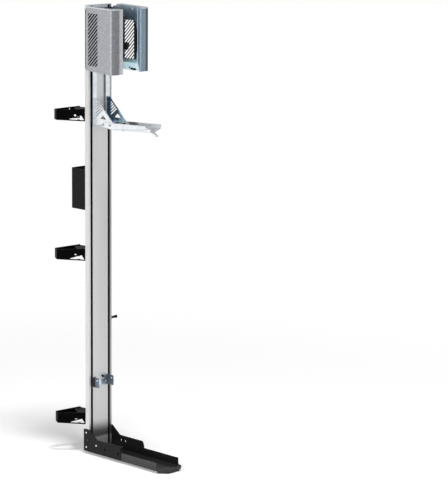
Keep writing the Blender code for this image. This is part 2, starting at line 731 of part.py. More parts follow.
def nose_corners():
    """Cutters that slant the gutter's front from its walls to the nose."""
    bm = bmesh.new()
    reach = NOSE_RUN / (TRAY_W / 2 - NOSE_W / 2)
    wide = TRAY_W
    spare = NOSE_RUN / 2
    for side in (-1, 1):
        outline = [(side * NOSE_W / 2, nose_y()),
                   (side * (TRAY_W / 2 + spare / reach), -TRAY_FRONT_U + spare),
                   (side * wide, -TRAY_FRONT_U + spare), (side * wide, nose_y() - spare),
                   (side * (NOSE_W / 2 - spare / reach), nose_y() - spare)]
        add_plate(bm, outline, -TRAY_BEND_Z, TRAY_RIM_Z, "z")
    return bm


def wheel_tray(material, parent):
    """Gutter with a shallow V floor, cut back to a slanted nose with a low raised lip."""
    half = TRAY_W / 2 - TRAY_T / 2
    profile = band(rounded([(-half, TRAY_RIM_Z), (-half, TRAY_BEND_Z), (0, TRAY_T / 2), (half, TRAY_BEND_Z),
                            (half, TRAY_RIM_Z)], 0.004, 3, closed=False), TRAY_T)
    gutter = solid(add_plate, profile, nose_y(), -TRAY_BACK_U, "y")
    wide = TRAY_W
    over = solid(add_block, (-wide, nose_y() - wide, TRAY_BEND_Z + 0.003),
                 (wide, -TRAY_FRONT_U, TRAY_RIM_Z + wide))
    under = solid(add_block, (-wide, -GAP, COLUMN_LOW - GAP), (wide, wide, TRAY_RIM_Z + wide))
    back = -TRAY_FRONT_U - TRAY_T * 1.6
    front = nose_y() + TRAY_T * 0.75
    lip_line = [(TRAY_W / 2 - TRAY_T * 1.8, back), (NOSE_W / 2 - TRAY_T / 2, front),
                (-NOSE_W / 2 + TRAY_T / 2, front), (-TRAY_W / 2 + TRAY_T * 1.8, back)]
    lip = solid(add_plate, band(lip_line, TRAY_T), TRAY_T * 0.5, TRAY_BEND_Z + NOSE_LIP_H, "z")
    bm = combine([combine([gutter, over, under, nose_corners()], "DIFFERENCE"), lip])
    holes = bmesh.new()
    for u, z in tray_screw_spots():
        add_turned(holes, [(SCREW_R + GAP, -TRAY_W), (SCREW_R + GAP, TRAY_W)], (0, -u, z), "x", 12)
    bm = combine([bm, holes], "DIFFERENCE")
    return make_object("wheel_tray", bm, material, parent)


def base_screws(material, parent):
    outer = COLUMN_W / 2 + GAP + PLATE_T
    for side, word in ((-1, "left"), (1, "right")):
        for k, (u, z) in enumerate(tray_screw_spots(), 1):
            screw(f"tray_screw_{word}_{k}", (side * outer, -u, z), side, SCREW_LENGTH, material, parent)


# Lift spring housing, with the drum that turns as the carriage moves

def spring_housing(material, parent):
    """Open-topped steel box with a peep hole in its back."""
    half = HOUSING_W / 2
    front = COLUMN_D + GAP
    back = front + HOUSING_D
    outer = rounded([(-half, front), (half, front), (half, back), (-half, back)], 0.006, 4)
    body = solid(add_plate, outer, HOUSING_LOW, HOUSING_TOP, "z")
    inset = HOUSING_T
    inner = rounded([(-half + inset, front + inset), (half - inset, front + inset),
                     (half - inset, back - inset), (-half + inset, back - inset)], 0.004, 3)
    hollow = solid(add_plate, inner, HOUSING_LOW + inset, HOUSING_TOP + inset, "z")
    peep = solid(add_turned, [(PEEP_R, back - inset * 2), (PEEP_R, back + inset)],
                 (0, 0, HOUSING_TOP - PEEP_DROP), "y", 14)
    bm = combine([body, hollow, peep], "DIFFERENCE")
    return make_object("spring_housing", bm, material, parent)


def drum_centre_y():
    return COLUMN_D + GAP + HOUSING_D / 2


def drum_axle(material, parent):
    half = HOUSING_W / 2 - HOUSING_T - GAP
    bm = solid(add_turned, [(0, -half), (AXLE_R, -half), (AXLE_R, half), (0, half)],
               (0, drum_centre_y(), DRUM_Z), "x", 16)
    return make_object("drum_axle", bm, material, parent)


def spring_drum(material, parent):
    """Flanged drum with the flat spring wound on it; it turns on the fixed axle."""
    half = DRUM_W / 2
    inside = half - FLANGE_T
    tape_r = DRUM_R - FLANGE_H
    bore = AXLE_R + TURN_GAP
    sides = 28
    profile = [(bore, -half), (DRUM_R, -half), (DRUM_R, -inside), (tape_r, -inside),
               (tape_r, inside), (DRUM_R, inside), (DRUM_R, half), (bore, half)]
    bm = solid(add_turned, profile, (0, 0, 0), "x", sides)
    bm.faces.ensure_lookup_table()
    caps = [f for f in bm.faces if len(f.verts) == sides]
    bmesh.ops.delete(bm, geom=caps, context="FACES_ONLY")
    ends = [e for e in bm.edges if e.is_boundary]
    bmesh.ops.bridge_loops(bm, edges=ends)
    return make_object("spring_drum", bm, material, parent)


# Rear wheel guide on the column's front

def guide_screw_z():
    return (GUIDE_LOW + GUIDE_NOTCH_LOW + GUIDE_LOW + GUIDE_H - GUIDE_NOTCH_TOP) / 2


def wheel_guide(material, parent):
    """Notched web against the column and two ears that hold the tyre between them."""
    half = GUIDE_HALF + GUIDE_T / 2
    top = GUIDE_LOW + GUIDE_H
    arm = GUIDE_ARM_IN
    web = rounded([(-half, GUIDE_LOW), (-arm, GUIDE_LOW), (-arm, GUIDE_LOW + GUIDE_NOTCH_LOW),
                   (arm, GUIDE_LOW + GUIDE_NOTCH_LOW), (arm, GUIDE_LOW), (half, GUIDE_LOW), (half, top),
                   (arm, top), (arm, top - GUIDE_NOTCH_TOP), (-arm, top - GUIDE_NOTCH_TOP), (-arm, top),
                   (-half, top)], 0.003, 3)
    spots = [circle((side * GUIDE_SCREW_V, guide_screw_z()), SCREW_R + GAP, 12) for side in (-1, 1)]
    parts = [solid(add_plate, web, -GAP - GUIDE_T, -GAP, "y", holes=spots)]
    ear = rounded([(-GAP, GUIDE_LOW), (-GAP, top), (-GUIDE_DEEP, top), (-GUIDE_DEEP, GUIDE_LOW)], 0.004, 3)
    hole = circle((-GUIDE_DEEP * 0.66, top - GUIDE_HOLE_R * 2.5), GUIDE_HOLE_R, 14)
    for side in (-1, 1):
        inner = side * GUIDE_HALF
        outer = inner + side * GUIDE_T
        parts.append(solid(add_plate, ear, min(inner, outer), max(inner, outer), "x", holes=(hole,)))
    bm = combine(parts)
    return make_object("rear_wheel_guide", bm, material, parent)


def guide_screws(material, parent):
    for word, side in (("left", -1), ("right", 1)):
        screw(f"guide_screw_{word}", (side * GUIDE_SCREW_V, -GAP - GUIDE_T, guide_screw_z()), -1, GUIDE_T,
              material, parent, axis="y")


# Lock knob

def knob_plate(material, parent):
    inner = COLUMN_W / 2 + GAP
    low = KNOB_Z - KNOB_PLATE_H / 2
    outline = rounded([(0.002, low), (COLUMN_D - 0.002, low), (COLUMN_D - 0.002, low + KNOB_PLATE_H),
                       (0.002, low + KNOB_PLATE_H)], 0.003, 3)
    bm = solid(add_plate, outline, inner, inner + KNOB_PLATE_T, "x",
               holes=(circle((COLUMN_D / 2, KNOB_Z), PLUNGER_R + TURN_GAP, 12),))
    return make_object("knob_plate", bm, material, parent)


def lock_knob(material, parent):
    """Tapered pull knob with a flared grip end."""
    start = KNOB_PLATE_T + 2 * GAP
    end = KNOB_LENGTH
    shape = [(0, 0), (0.98, 0), (1.04, 0.03), (0.96, 0.21), (0.74, 0.36), (0.72, 0.52), (0.92, 0.70), (1, 0.90),
             (0.86, 0.97), (0.5, 1), (0, 1)]
    profile = [(KNOB_R * wide, start + (end - start) * along) for wide, along in shape]
    body = solid(add_turned, profile, (0, 0, 0), "x", 18)
    socket = solid(add_turned, [(PLUNGER_R + GAP, -KNOB_SOCKET), (PLUNGER_R + GAP, start + KNOB_SOCKET)],
                   (0, 0, 0), "x", 12)
    bm = combine([body, socket], "DIFFERENCE")
    return make_object("lock_knob", bm, material, parent)


def lock_plunger(material, parent):
    """Steel plunger, from the edge of the column's slot room to inside the knob."""
    inner = -(COLUMN_W / 2 - SLOT_V - SLOT_ROOM_W / 2) + GAP
    outer = KNOB_PLATE_T + KNOB_SOCKET
    edge = 0.001
    profile = [(0, inner), (PLUNGER_R - edge, inner), (PLUNGER_R, inner + edge), (PLUNGER_R, outer), (0, outer)]
    bm = solid(add_turned, profile, (0, 0, 0), "x", 12)
    return make_object("lock_plunger", bm, material, parent)


# Carriage

def slide_shoe(name, side, z, material, parent):
    """Plastic shoe: a wide foot in the slot, a neck through it and a head under the strip."""
    centre = SLOT_V
    neck = SLOT_W / 2 - SLIDE_GAP
    foot = SLOT_ROOM_W / 2 - SLIDE_GAP
    foot_low = SLOT_LIP + SLIDE_GAP
    foot_high = SLOT_LIP + SLOT_ROOM_D - SLIDE_GAP
    face = -SLIDE_GAP
    front = -(STRIP_U - STRIP_T) + GAP
    head_out = STRIP_OUT - GAP
    head_in = STRIP_IN + STRIP_T + GAP
    outline = [(centre - foot, foot_high), (centre + foot, foot_high), (centre + foot, foot_low),
               (centre + neck, foot_low), (centre + neck, face), (head_out, face), (head_out, front),
               (head_in, front), (head_in, face), (centre - neck, face), (centre - neck, foot_low),
               (centre - foot, foot_low)]
    outline = [(side * x, y) for x, y in outline]
    bm = solid(add_plate, outline, z - SHOE_H / 2, z + SHOE_H / 2, "z")
    return make_object(name, bm, material, parent)


def back_strip(name, side, material, parent):
    """Long angle of galvanised steel beside each slot, which links the head and the arm."""
    inner = side * (STRIP_IN + STRIP_T / 2)
    mid_y = -STRIP_U + STRIP_T / 2
    line = rounded([(inner, -SLIDE_GAP), (inner, mid_y), (side * STRIP_OUT, mid_y)], 0.0015, 2, closed=False)
    bm = solid(add_plate, band(line, STRIP_T), STRIP_LOW, STRIP_TOP, "z")
    return make_object(name, bm, material, parent)


def carriage_plate(material, parent):
    """Pressed back plate of the head: its middle on the strips, its wings stepped forward."""
    wing_y = -(HEAD_BACK - GAP - CARRIAGE_T / 2)
    middle_y = -STRIP_U - GAP - CARRIAGE_T / 2
    edge = HEAD_HALF - EDGE_DROP
    step_in = CARRIAGE_STEP_V
    step_out = CARRIAGE_STEP_V + CARRIAGE_STEP_W
    line = [(-edge, wing_y), (-step_out, wing_y), (-step_in, middle_y), (step_in, middle_y),
            (step_out, wing_y), (edge, wing_y)]
    bm = solid(add_plate, band(rounded(line, 0.003, 2, closed=False), CARRIAGE_T),
               HEAD_LOW + CARRIAGE_SILL, HEAD_TOP - CARRIAGE_DROP, "z")
    return make_object("carriage_plate", bm, material, parent)


def louvre_cutter(side):
    """Slanted slots, trimmed square by the strip that they fill."""
    bm = bmesh.new()
    rise = (LOUVRE_FRONT - LOUVRE_BACK) * LOUVRE_SLOPE
    low = HEAD_LOW + LOUVRE_SILL
    high = HEAD_TOP - LOUVRE_HEAD
    start = low - rise
    inner = side * (HEAD_HALF - 4 * HEAD_T)
    outer = side * (HEAD_HALF + 4 * HEAD_T)
    count = int((high - start) / LOUVRE_PITCH) + 1
    for k in range(count):
        foot = start + k * LOUVRE_PITCH
        slot = [(-LOUVRE_BACK, foot), (-LOUVRE_FRONT, foot + rise), (-LOUVRE_FRONT, foot + rise + LOUVRE_OPEN),
                (-LOUVRE_BACK, foot + LOUVRE_OPEN)]
        slot = clip_to_box(slot, (-LOUVRE_FRONT, low), (-LOUVRE_BACK, high))
        heights = [p[1] for p in slot]
        if slot and max(heights) - min(heights) > LOUVRE_OPEN * 0.75:
            add_plate(bm, slot, min(inner, outer), max(inner, outer), "x")
    return bm


def head_shell(name, side, material, parent):
    """Folded outer cover of one half of the head, slatted like a louvre on its outer wall."""
    outer = side * (HEAD_HALF - HEAD_T / 2)
    lip = side * (LIP_V + HEAD_T / 2)
    back_y = -(HEAD_BACK + HEAD_T / 2)
    front_y = -(HEAD_FRONT - HEAD_T / 2)
    line = [(side * HEAD_FLANGE_IN, back_y), (outer, back_y), (outer, front_y + FACET_D),
            (outer - side * FACET_W, front_y), (lip, front_y), (lip, front_y + LIP_DEEP)]
    profile = band(rounded(line, 0.0022, 3, closed=False), HEAD_T)
    body = solid(add_plate, profile, HEAD_LOW, HEAD_TOP, "z")
    bm = combine([body, louvre_cutter(side)], "DIFFERENCE")
    return make_object(name, bm, material, parent)


def window_outline(grow=0.0):
    """Window in the inner wall, its upper front corner arched."""
    back = -WINDOW_BACK + grow
    front = -WINDOW_FRONT - grow
    low = WINDOW_LOW - grow
    top = WINDOW_TOP + grow
    arch = WINDOW_ARCH + grow
    corner = arc((front + arch, top - arch), arch, 90, 180, 6)
    return [(back, low), (back, top), *corner, (front, low)]


def inner_wall(name, side, material, parent):
    """Galvanised wall beside the wheel: flared foot, window, rolled front edge and a back flange."""
    centre = side * (INNER_V + INNER_T / 2)
    top = HEAD_TOP - EDGE_DROP
    flare_z = HEAD_LOW + FLARE_H
    line = [(centre, top), (centre, flare_z), (centre + side * FLARE_OUT, HEAD_LOW + EDGE_DROP)]
    flange_y = -(HEAD_BACK + HEAD_T + GAP + INNER_T)
    sheet = solid(add_plate, band(line, INNER_T), -INNER_FRONT, flange_y + INNER_T * 0.9, "y")
    flange_in = centre - side * INNER_T / 2
    flange_out = side * INNER_FLANGE_OUT
    flange = solid(add_block, (min(flange_in, flange_out), flange_y, flare_z),
                   (max(flange_in, flange_out), flange_y + INNER_T, top))
    roll_line = [(centre, -INNER_FRONT + INNER_T * 2), (centre, -INNER_FRONT),
                 (centre - side * ROLL_IN, -INNER_FRONT - ROLL_RUN)]
    roll = solid(add_plate, band(rounded(roll_line, 0.002, 3, closed=False), INNER_T), flare_z, top, "z")
    joined = combine([sheet, flange, roll])
    cutter = bmesh.new()
    low = min(centre * 0.9, centre * 1.1)
    high = max(centre * 0.9, centre * 1.1)
    add_plate(cutter, window_outline(), low, high, "x")
    bm = combine([joined, cutter], "DIFFERENCE")
    return make_object(name, bm, material, parent)


def rim_pad(name, side, material, parent):
    """Moulded frame round the window, on the side that meets the wheel."""
    back = -WINDOW_BACK + PAD_RIM_BACK
    front = -WINDOW_FRONT - PAD_RIM_FRONT
    low = WINDOW_LOW - PAD_RIM_LOW
    top = WINDOW_TOP + PAD_RIM_TOP
    step = front - PAD_STEP
    step_low = low + PAD_STEP_SILL
    step_top = top - PAD_STEP_DROP
    outer = [(back, low), (back, top - PAD_CORNER), (back - PAD_CORNER, top),
             *arc((front + PAD_ARCH, top - PAD_ARCH), PAD_ARCH, 90, 150, 5), (front, step_top + PAD_STEP_SLANT),
             (step, step_top), (step, step_low), (front, step_low - PAD_STEP_SLANT),
             (front, low + PAD_CORNER), (front + PAD_CORNER, low)]
    face = side * (INNER_V - GAP)
    far = face - side * PAD_T
    bm = solid(add_plate, outer, min(face, far), max(face, far), "x", holes=(window_outline(GAP),))
    return make_object(name, bm, material, parent)


def hook_path():
    """Centre line of the hook's rod: straight out, then turned up."""
    start = (-(CARRIAGE_FACE + GAP + HOOK_FOOT_T / 2), HOOK_Z)
    corner = arc((-HOOK_REACH + HOOK_BEND, HOOK_Z + HOOK_BEND), HOOK_BEND, 270, 180, 6)
    return [start, *corner, (-HOOK_REACH, HOOK_Z + HOOK_RISE)]


def add_tube(bm, path, radii, segments):
    """Adds a round solid along a path in the YZ plane."""
    rings = []
    for k, (y, z) in enumerate(path):
        ahead = Vector(path[min(k + 1, len(path) - 1)]) - Vector(path[max(k - 1, 0)])
        ahead.normalize()
        side = Vector((-ahead.y, ahead.x))
        ring = []
        for step in range(segments):
            turn = 2 * math.pi * step / segments
            offset = radii[k] * math.sin(turn)
            ring.append(bm.verts.new((radii[k] * math.cos(turn), y + side.x * offset, z + side.y * offset)))
        rings.append(ring)
    for lower, upper in zip(rings, rings[1:]):
        for k in range(segments):
            bm.faces.new((lower[k], lower[(k + 1) % segments], upper[(k + 1) % segments], upper[k]))
    bm.faces.new(rings[0])
    bm.faces.new(rings[-1])


def wheel_hook(material, parent):
    """Bent rod on a foot plate, which is fixed to the carriage plate."""
    path = hook_path()
    rod = solid(add_tube, path, [HOOK_ROD_R] * len(path), 12)
    face = -CARRIAGE_FACE - GAP
    half = HOOK_FOOT_W / 2
    low = HOOK_Z - HOOK_FOOT_H / 2
    high = HOOK_Z + HOOK_FOOT_H / 2
    foot = solid(add_plate, rounded([(-half, low), (half, low), (half, high), (-half, high)], 0.004, 3),
                 face - HOOK_FOOT_T, face, "y")
    bm = combine([foot, rod])
    return make_object("wheel_hook", bm, material, parent)


def hook_sleeve(material, parent):
    """Rubber sleeve over the hook's front half, closed over its tip."""
    path = hook_path()[1:]
    tip = path[-1]
    outer_path = [(-SLEEVE_START, HOOK_Z), *path, (tip[0], tip[1] + SLEEVE_END)]
    radii = [SLEEVE_R] * (len(outer_path) - 1) + [SLEEVE_R * 0.72]
    mouth = [(-SLEEVE_START + SLEEVE_R, HOOK_Z), (-SLEEVE_START, HOOK_Z)]
    bore_path = [*mouth, *path[:-1], (tip[0], tip[1] + GAP)]
    outer = solid(add_tube, outer_path, radii, 14)
    bore = solid(add_tube, bore_path, [HOOK_ROD_R + GAP] * len(bore_path), 12)
    bm = combine([outer, bore], "DIFFERENCE")
    return make_object("hook_sleeve", bm, material, parent)


# Support arm

def gusset_edge():
    """The two ends of a gusset's long slanting edge."""
    return (-GUSSET_BACK - GUSSET_TOP_W, GUSSET_TOP), (-GUSSET_TIP_U, GUSSET_LOW + GUSSET_TIP_H)


def gusset_outline():
    upper, tip = gusset_edge()
    return [(-GUSSET_BACK, GUSSET_LOW), (-GUSSET_BACK, GUSSET_TOP), upper, tip,
            (tip[0], tip[1] - GUSSET_TIP_T), (tip[0] + GUSSET_NOSE, GUSSET_LOW),
            (-GUSSET_NOTCH_U - GUSSET_NOTCH_H / 2, GUSSET_LOW), (-GUSSET_NOTCH_U, GUSSET_LOW + GUSSET_NOTCH_H),
            (-GUSSET_BACK - GUSSET_T * 2, GUSSET_LOW)]


def gusset_holes():
    """Slanted slots under the long edge, a triangle and the bolt holes."""
    upper, tip = gusset_edge()
    slope = (upper[1] - tip[1]) / (upper[0] - tip[0])
    back = -GUSSET_BACK - GUSSET_SLOT_IN
    rim = GUSSET_RIM * math.hypot(1, slope) + GUSSET_SLOT_OPEN
    holes = []
    for k in range(GUSSET_SLOTS):
        low = GUSSET_LOW + GUSSET_SLOT_H + k * GUSSET_SLOT_PITCH
        over = upper[1] + slope * (back - upper[0]) - rim - low
        run = over / (1 + slope)
        slot = [(back, low), (back - run, low + run), (back - run, low + run + GUSSET_SLOT_OPEN),
                (back, low + GUSSET_SLOT_OPEN)]
        holes.append(rounded(slot, 0.0015, 2))
    base = GUSSET_LOW + TRIANGLE_Z
    holes.append(rounded([(-TRIANGLE_U, base), (-TRIANGLE_U - TRIANGLE_W / 2, base + TRIANGLE_H),
                          (-TRIANGLE_U - TRIANGLE_W, base)], 0.0015, 2))
    holes += [circle((-u, arm_line(u)), BOLT_R + GAP, 12) for u in arm_bolt_spots()]
    return holes


def gusset_hem():
    """Section of the lip turned in along a gusset's long edge."""
    upper, tip = [Vector(end) for end in gusset_edge()]
    along = (tip - upper).normalized()
    inward = Vector((-along.y, along.x)) * GUSSET_T
    return [tuple(upper), tuple(tip), tuple(tip + inward), tuple(upper + inward)]


def arm_bolt_spots():
    return [ARM_BOLT_U, ARM_BOLT_U + ARM_BOLT_PITCH]


def arm_line(u):
    """Height of the line through the arm's bolts."""
    return GUSSET_LOW + ARM_BOLT_H + (u - ARM_BOLT_U) * ARM_SLOPE


def arm_foot(u):
    """Lower edge of the arm's walls: down from the rear bolt, then up to the front."""
    low = (ARM_LOW_U, arm_line(ARM_LOW_U) - ARM_LOW_DOWN)
    if u < ARM_LOW_U:
        return linear(u, (ARM_BOLT_U, arm_line(ARM_BOLT_U) - ARM_END_R), low)
    return linear(u, low, (ARM_FRONT_U, arm_line(ARM_FRONT_U) - ARM_FRONT_DOWN))


def arm_ridge(u):
    """Height of the floor's centre line."""
    return arm_line(u) - linear(u, (ARM_LOW_U, RIDGE_LOW_DOWN), (ARM_FRONT_U, RIDGE_FRONT_DOWN))


def arm_bracket(material, parent):
    """Two pierced gussets with turned-in edges, flanges on the strips and a bar between them."""
    parts = []
    for side in (-1, 1):
        face = side * GUSSET_V
        inner = face - side * GUSSET_T
        parts.append(solid(add_plate, gusset_outline(), min(face, inner), max(face, inner), "x",
                           holes=gusset_holes()))
        middle = face - side * GUSSET_T / 2
        hem = inner - side * GUSSET_HEM
        parts.append(solid(add_plate, gusset_hem(), min(middle, hem), max(middle, hem), "x"))
        edge = side * GUSSET_FLANGE_IN
        parts.append(solid(add_block, (min(middle, edge), -GUSSET_BACK - GUSSET_T, GUSSET_LOW),
                           (max(middle, edge), -GUSSET_BACK, GUSSET_TOP - GUSSET_HEM)))
    reach = GUSSET_V - GUSSET_T / 2
    parts.append(solid(add_block, (-reach, -GUSSET_BACK - GUSSET_T, GUSSET_LOW),
                       (reach, -GUSSET_BACK, GUSSET_LOW + GUSSET_BAR_H)))
    return make_object("arm_bracket", combine(parts), material, parent)


def arm_wall():
    """One wall of the arm, seen from the side: round behind, deepest past the gusset, open in front."""
    rear = (-ARM_BOLT_U, arm_line(ARM_BOLT_U))
    front_top = arm_line(ARM_FRONT_U) + ARM_UP
    return [*arc(rear, ARM_END_R, -90, 90, 12), (-ARM_LOW_U, arm_line(ARM_LOW_U) + ARM_UP),
            (-ARM_FRONT_U, front_top), (-ARM_FRONT_U, arm_foot(ARM_FRONT_U)), (-ARM_LOW_U, arm_foot(ARM_LOW_U))]


def arm_floor():
    """Trough floor: nearly flat at the gussets and a deepening V toward the front."""
    edge_x = ARM_HALF - ARM_T / 2
    sections = []
    for u in (ARM_FLOOR_U, ARM_LOW_U, ARM_FRONT_U):
        edge_z = arm_foot(u) + ARM_T * 0.75
        ridge_z = min(arm_ridge(u), edge_z - ARM_T) + ARM_T / 2
        outline = band([(-edge_x, edge_z), (0, ridge_z), (edge_x, edge_z)], ARM_T)
        sections.append([(x, -u, z) for x, z in outline])
    return sections


def support_arm(material, parent):
    """Tapering trough for the wheel: two walls, a V floor, an end plate and a small tongue."""
    walls = []
    for side in (-1, 1):
        face = side * ARM_HALF
        inner = face - side * ARM_T
        walls.append(solid(add_plate, arm_wall(), min(face, inner), max(face, inner), "x"))
    floor = solid(add_loft, arm_floor())
    foot = arm_foot(ARM_FRONT_U)
    ridge = arm_ridge(ARM_FRONT_U)
    half = ARM_HALF - ARM_T / 2
    stop = solid(add_plate, [(-half, foot + ARM_T), (-half, foot), (0, ridge), (half, foot),
                             (half, foot + ARM_T)], -ARM_FRONT_U, -ARM_FRONT_U + ARM_T, "y")
    tongue_line = [(-ARM_FRONT_U + ARM_T, ridge + ARM_T), (-ARM_FRONT_U - ARM_T / 2, ridge + ARM_T / 2),
                   (-ARM_FRONT_U - TONGUE_OUT, ridge - TONGUE_DROP)]
    tongue = solid(add_plate, band(tongue_line, ARM_T), -TONGUE_W / 2, TONGUE_W / 2, "x")
    joined = combine([*walls, floor, stop, tongue])
    holes = bmesh.new()
    for u in arm_bolt_spots():
        add_turned(holes, [(BOLT_R + GAP, -ARM_HALF * 2), (BOLT_R + GAP, ARM_HALF * 2)],
                   (0, -u, arm_line(u)), "x", 12)
    bm = combine([joined, holes], "DIFFERENCE")
    return make_object("support_arm", bm, material, parent)


def arm_bolts(material, spacer_material, parent):
    """Bolts through the arm's walls and both gussets, with a washer between each pair of sheets."""
    outer = ARM_HALF + GAP
    crown = outer + BOLT_HEAD_H
    rim = outer + BOLT_HEAD_H * 0.6
    half = [(BOLT_R, outer), (BOLT_HEAD_R, outer), (BOLT_HEAD_R, rim), (BOLT_HEAD_R * 0.8, crown), (0, crown)]
    profile = [(radius, -height) for radius, height in half[::-1]] + half
    for k, u in enumerate(arm_bolt_spots(), 1):
        spot = (0, -u, arm_line(u))
        make_object(f"arm_bolt_{k}", solid(add_turned, profile, (0, 0, 0), "x", 14), material, parent, spot)
        for side, word in ((-1, "left"), (1, "right")):
            near = side * (GUSSET_V + GAP)
            far = side * (ARM_HALF - ARM_T - GAP)
            bm = solid(add_plate, circle((0, 0), SPACER_R, 14), min(near, far), max(near, far), "x",
                       holes=(circle((0, 0), BOLT_R + GAP, 12),))
            make_object(f"arm_spacer_{word}_{k}", bm, spacer_material, parent, spot)


def build():
    clear_scene()
    look = make_finishes()
    for word, z in BRACKET_Z.items():
        wall_bracket(f"wall_bracket_{word}", z, look["black_steel"], word == "top")
        pivot_pin(f"pivot_pin_{word}", z, look["screw_black"])

    swivel = empty("swivel_axis", (AXIS.x, AXIS.y, 0))
    for word, z in BRACKET_Z.items():
        knuckle(f"knuckle_{word}", z, look["black_steel"], swivel)
        swivel_bush(f"swivel_bush_{word}", z, look["black_plastic"], swivel)

    stand = empty("column_frame", (0, FRONT_Y, FLOOR_Z), swivel)
    column(look["aluminium"], stand)
    column_cap(look["black_plastic"], stand)
    side_plate("base_plate_left", -1, look["base_black"], stand)
    side_plate("base_plate_right", 1, look["base_black"], stand)
    wheel_tray(look["base_black"], stand)
    base_screws(look["screw_black"], stand)
    spring_housing(look["charcoal"], stand)
    drum_axle(look["steel"], stand)
    wheel_guide(look["guide_zinc"], stand)
    guide_screws(look["steel"], stand)
    knob_plate(look["steel"], stand)

    drum_axis = empty("drum_axis", (0, drum_centre_y(), DRUM_Z), stand)
    spring_drum(look["spring_steel"], drum_axis)

    knob_axis = empty("knob_axis", (COLUMN_W / 2, COLUMN_D / 2, KNOB_Z), stand)
    lock_knob(look["black_plastic"], knob_axis)
    lock_plunger(look["steel"], knob_axis)

    carriage = empty("carriage_slide", (0, 0, 0), stand)
    for side, word in ((-1, "left"), (1, "right")):
        back_strip(f"back_strip_{word}", side, look["zinc"], carriage)
        for level, z in (("lower", STRIP_LOW + SHOE_LOW_H), ("upper", STRIP_TOP - SHOE_TOP_DROP)):
            slide_shoe(f"slide_shoe_{level}_{word}", side, z, look["black_plastic"], carriage)
        head_shell(f"head_shell_{word}", side, look["silver_coat"], carriage)
        inner_wall(f"inner_wall_{word}", side, look["zinc"], carriage)
        rim_pad(f"rim_pad_{word}", side, look["rubber"], carriage)
    carriage_plate(look["black_steel"], carriage)
    wheel_hook(look["steel"], carriage)
    hook_sleeve(look["rubber"], carriage)
    arm_bracket(look["zinc"], carriage)
    support_arm(look["zinc"], carriage)
    arm_bolts(look["steel"], look["zinc"], carriage)


build()
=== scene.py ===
# Dressed model of a swivel bike wall mount: its finishes, its finer pieces, and a plain pale stage.
# Metres, +Z up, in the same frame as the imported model.
import math

import bmesh
import bpy
from mathutils import Matrix, Vector


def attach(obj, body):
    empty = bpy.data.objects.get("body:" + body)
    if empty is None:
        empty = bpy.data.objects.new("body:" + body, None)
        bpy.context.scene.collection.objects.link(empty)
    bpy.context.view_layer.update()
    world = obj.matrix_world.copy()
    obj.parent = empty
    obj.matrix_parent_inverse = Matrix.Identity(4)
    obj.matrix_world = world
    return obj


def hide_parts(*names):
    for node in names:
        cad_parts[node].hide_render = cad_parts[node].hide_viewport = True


bl_info = {
    "name": "Swivel bike wall mount",
    "version": (1, 0, 0),
    "blender": (4, 5, 0),
    "location": "3D View > Sidebar > Bike Mount",
    "description": "Dresses the packed model of a swivelling bike column with finishes and "
                   "finer pieces",
    "category": "Object",
}

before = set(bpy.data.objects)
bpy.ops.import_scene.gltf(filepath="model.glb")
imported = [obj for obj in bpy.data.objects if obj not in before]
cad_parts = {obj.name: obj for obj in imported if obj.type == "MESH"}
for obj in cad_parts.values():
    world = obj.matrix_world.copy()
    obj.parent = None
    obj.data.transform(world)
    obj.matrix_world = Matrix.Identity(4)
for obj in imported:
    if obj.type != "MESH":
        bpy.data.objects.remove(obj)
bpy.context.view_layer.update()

# Places in the frame
AXIS_X = 0.12211                # swivel axis, and the middle of the column
FRONT_Y = -0.1431               # column's front face, which looks along -Y
FLOOR_Z = -0.855

MM = 0.001

# Head, from the column's front face and the floor
HEAD_BACK, HEAD_FRONT = 0.024, 0.184
HEAD_LOW, HEAD_TOP = 1.639, 1.900
HEAD_HALF = 0.103
SHEET = 0.0016
LIP_V = 0.0570                  # shells' inner edge at the front
LOUVRE_BACK, LOUVRE_FRONT = 0.040, 0.0975
LOUVRE_RISE = 0.966 * (LOUVRE_FRONT - LOUVRE_BACK)                  # of one slot, back to front
LOUVRE_SILL, LOUVRE_CROWN = HEAD_LOW + 0.022, HEAD_TOP - 0.023      # ends of the row
INNER_V = 0.048                 # wheel's side of the inner walls
WINDOW_BACK, WINDOW_FRONT = 0.0955, 0.1575
WINDOW_LOW, WINDOW_TOP = 1.688, 1.847
GROMMET = (INNER_V - 0.0002, 0.141, 1.8915)

# Arm: the lowest place of its V, and how the V's rim rises from there on both sides
ARM_LOW_U, ARM_LOW_Z = 0.123, 1.3989
ARM_RISE, ARM_LEAN = 0.0885, 0.0064
ARM_STOP = (0, 0.141, 1.3975)

# Column
COLUMN_LOW, COLUMN_TOP = 0.024, 1.902
SLOT_V, SLOT_W = 0.0485, 0.012
STUB_SCREW = (0.012, 0.0002, 0.3295)

# Screws on the left base plate
BASE_SCREW_V = -0.0672
BASE_SCREWS = ((-0.0155, 0.092), (-0.0155, 0.029), (0.047, 0.0467))

# Stage: its floor, lamp and camera. The camera's turns are in degrees.
FLOOR_RADIUS = 90.0
FLOOR_TONE = 0.9
LAMP_SIZE = 1.9
LAMP_PLACE = Vector((-0.65, -2.75, 8.75))
LAMP_TARGET = Vector((AXIS_X, FRONT_Y, 0.1))
CAMERA_PLACE = (-6.4765, -7.3957, 1.8735)
CAMERA_YAW, CAMERA_DOWN, CAMERA_ROLL = -45.332, 10.4445, 0.4875


# Shader maths

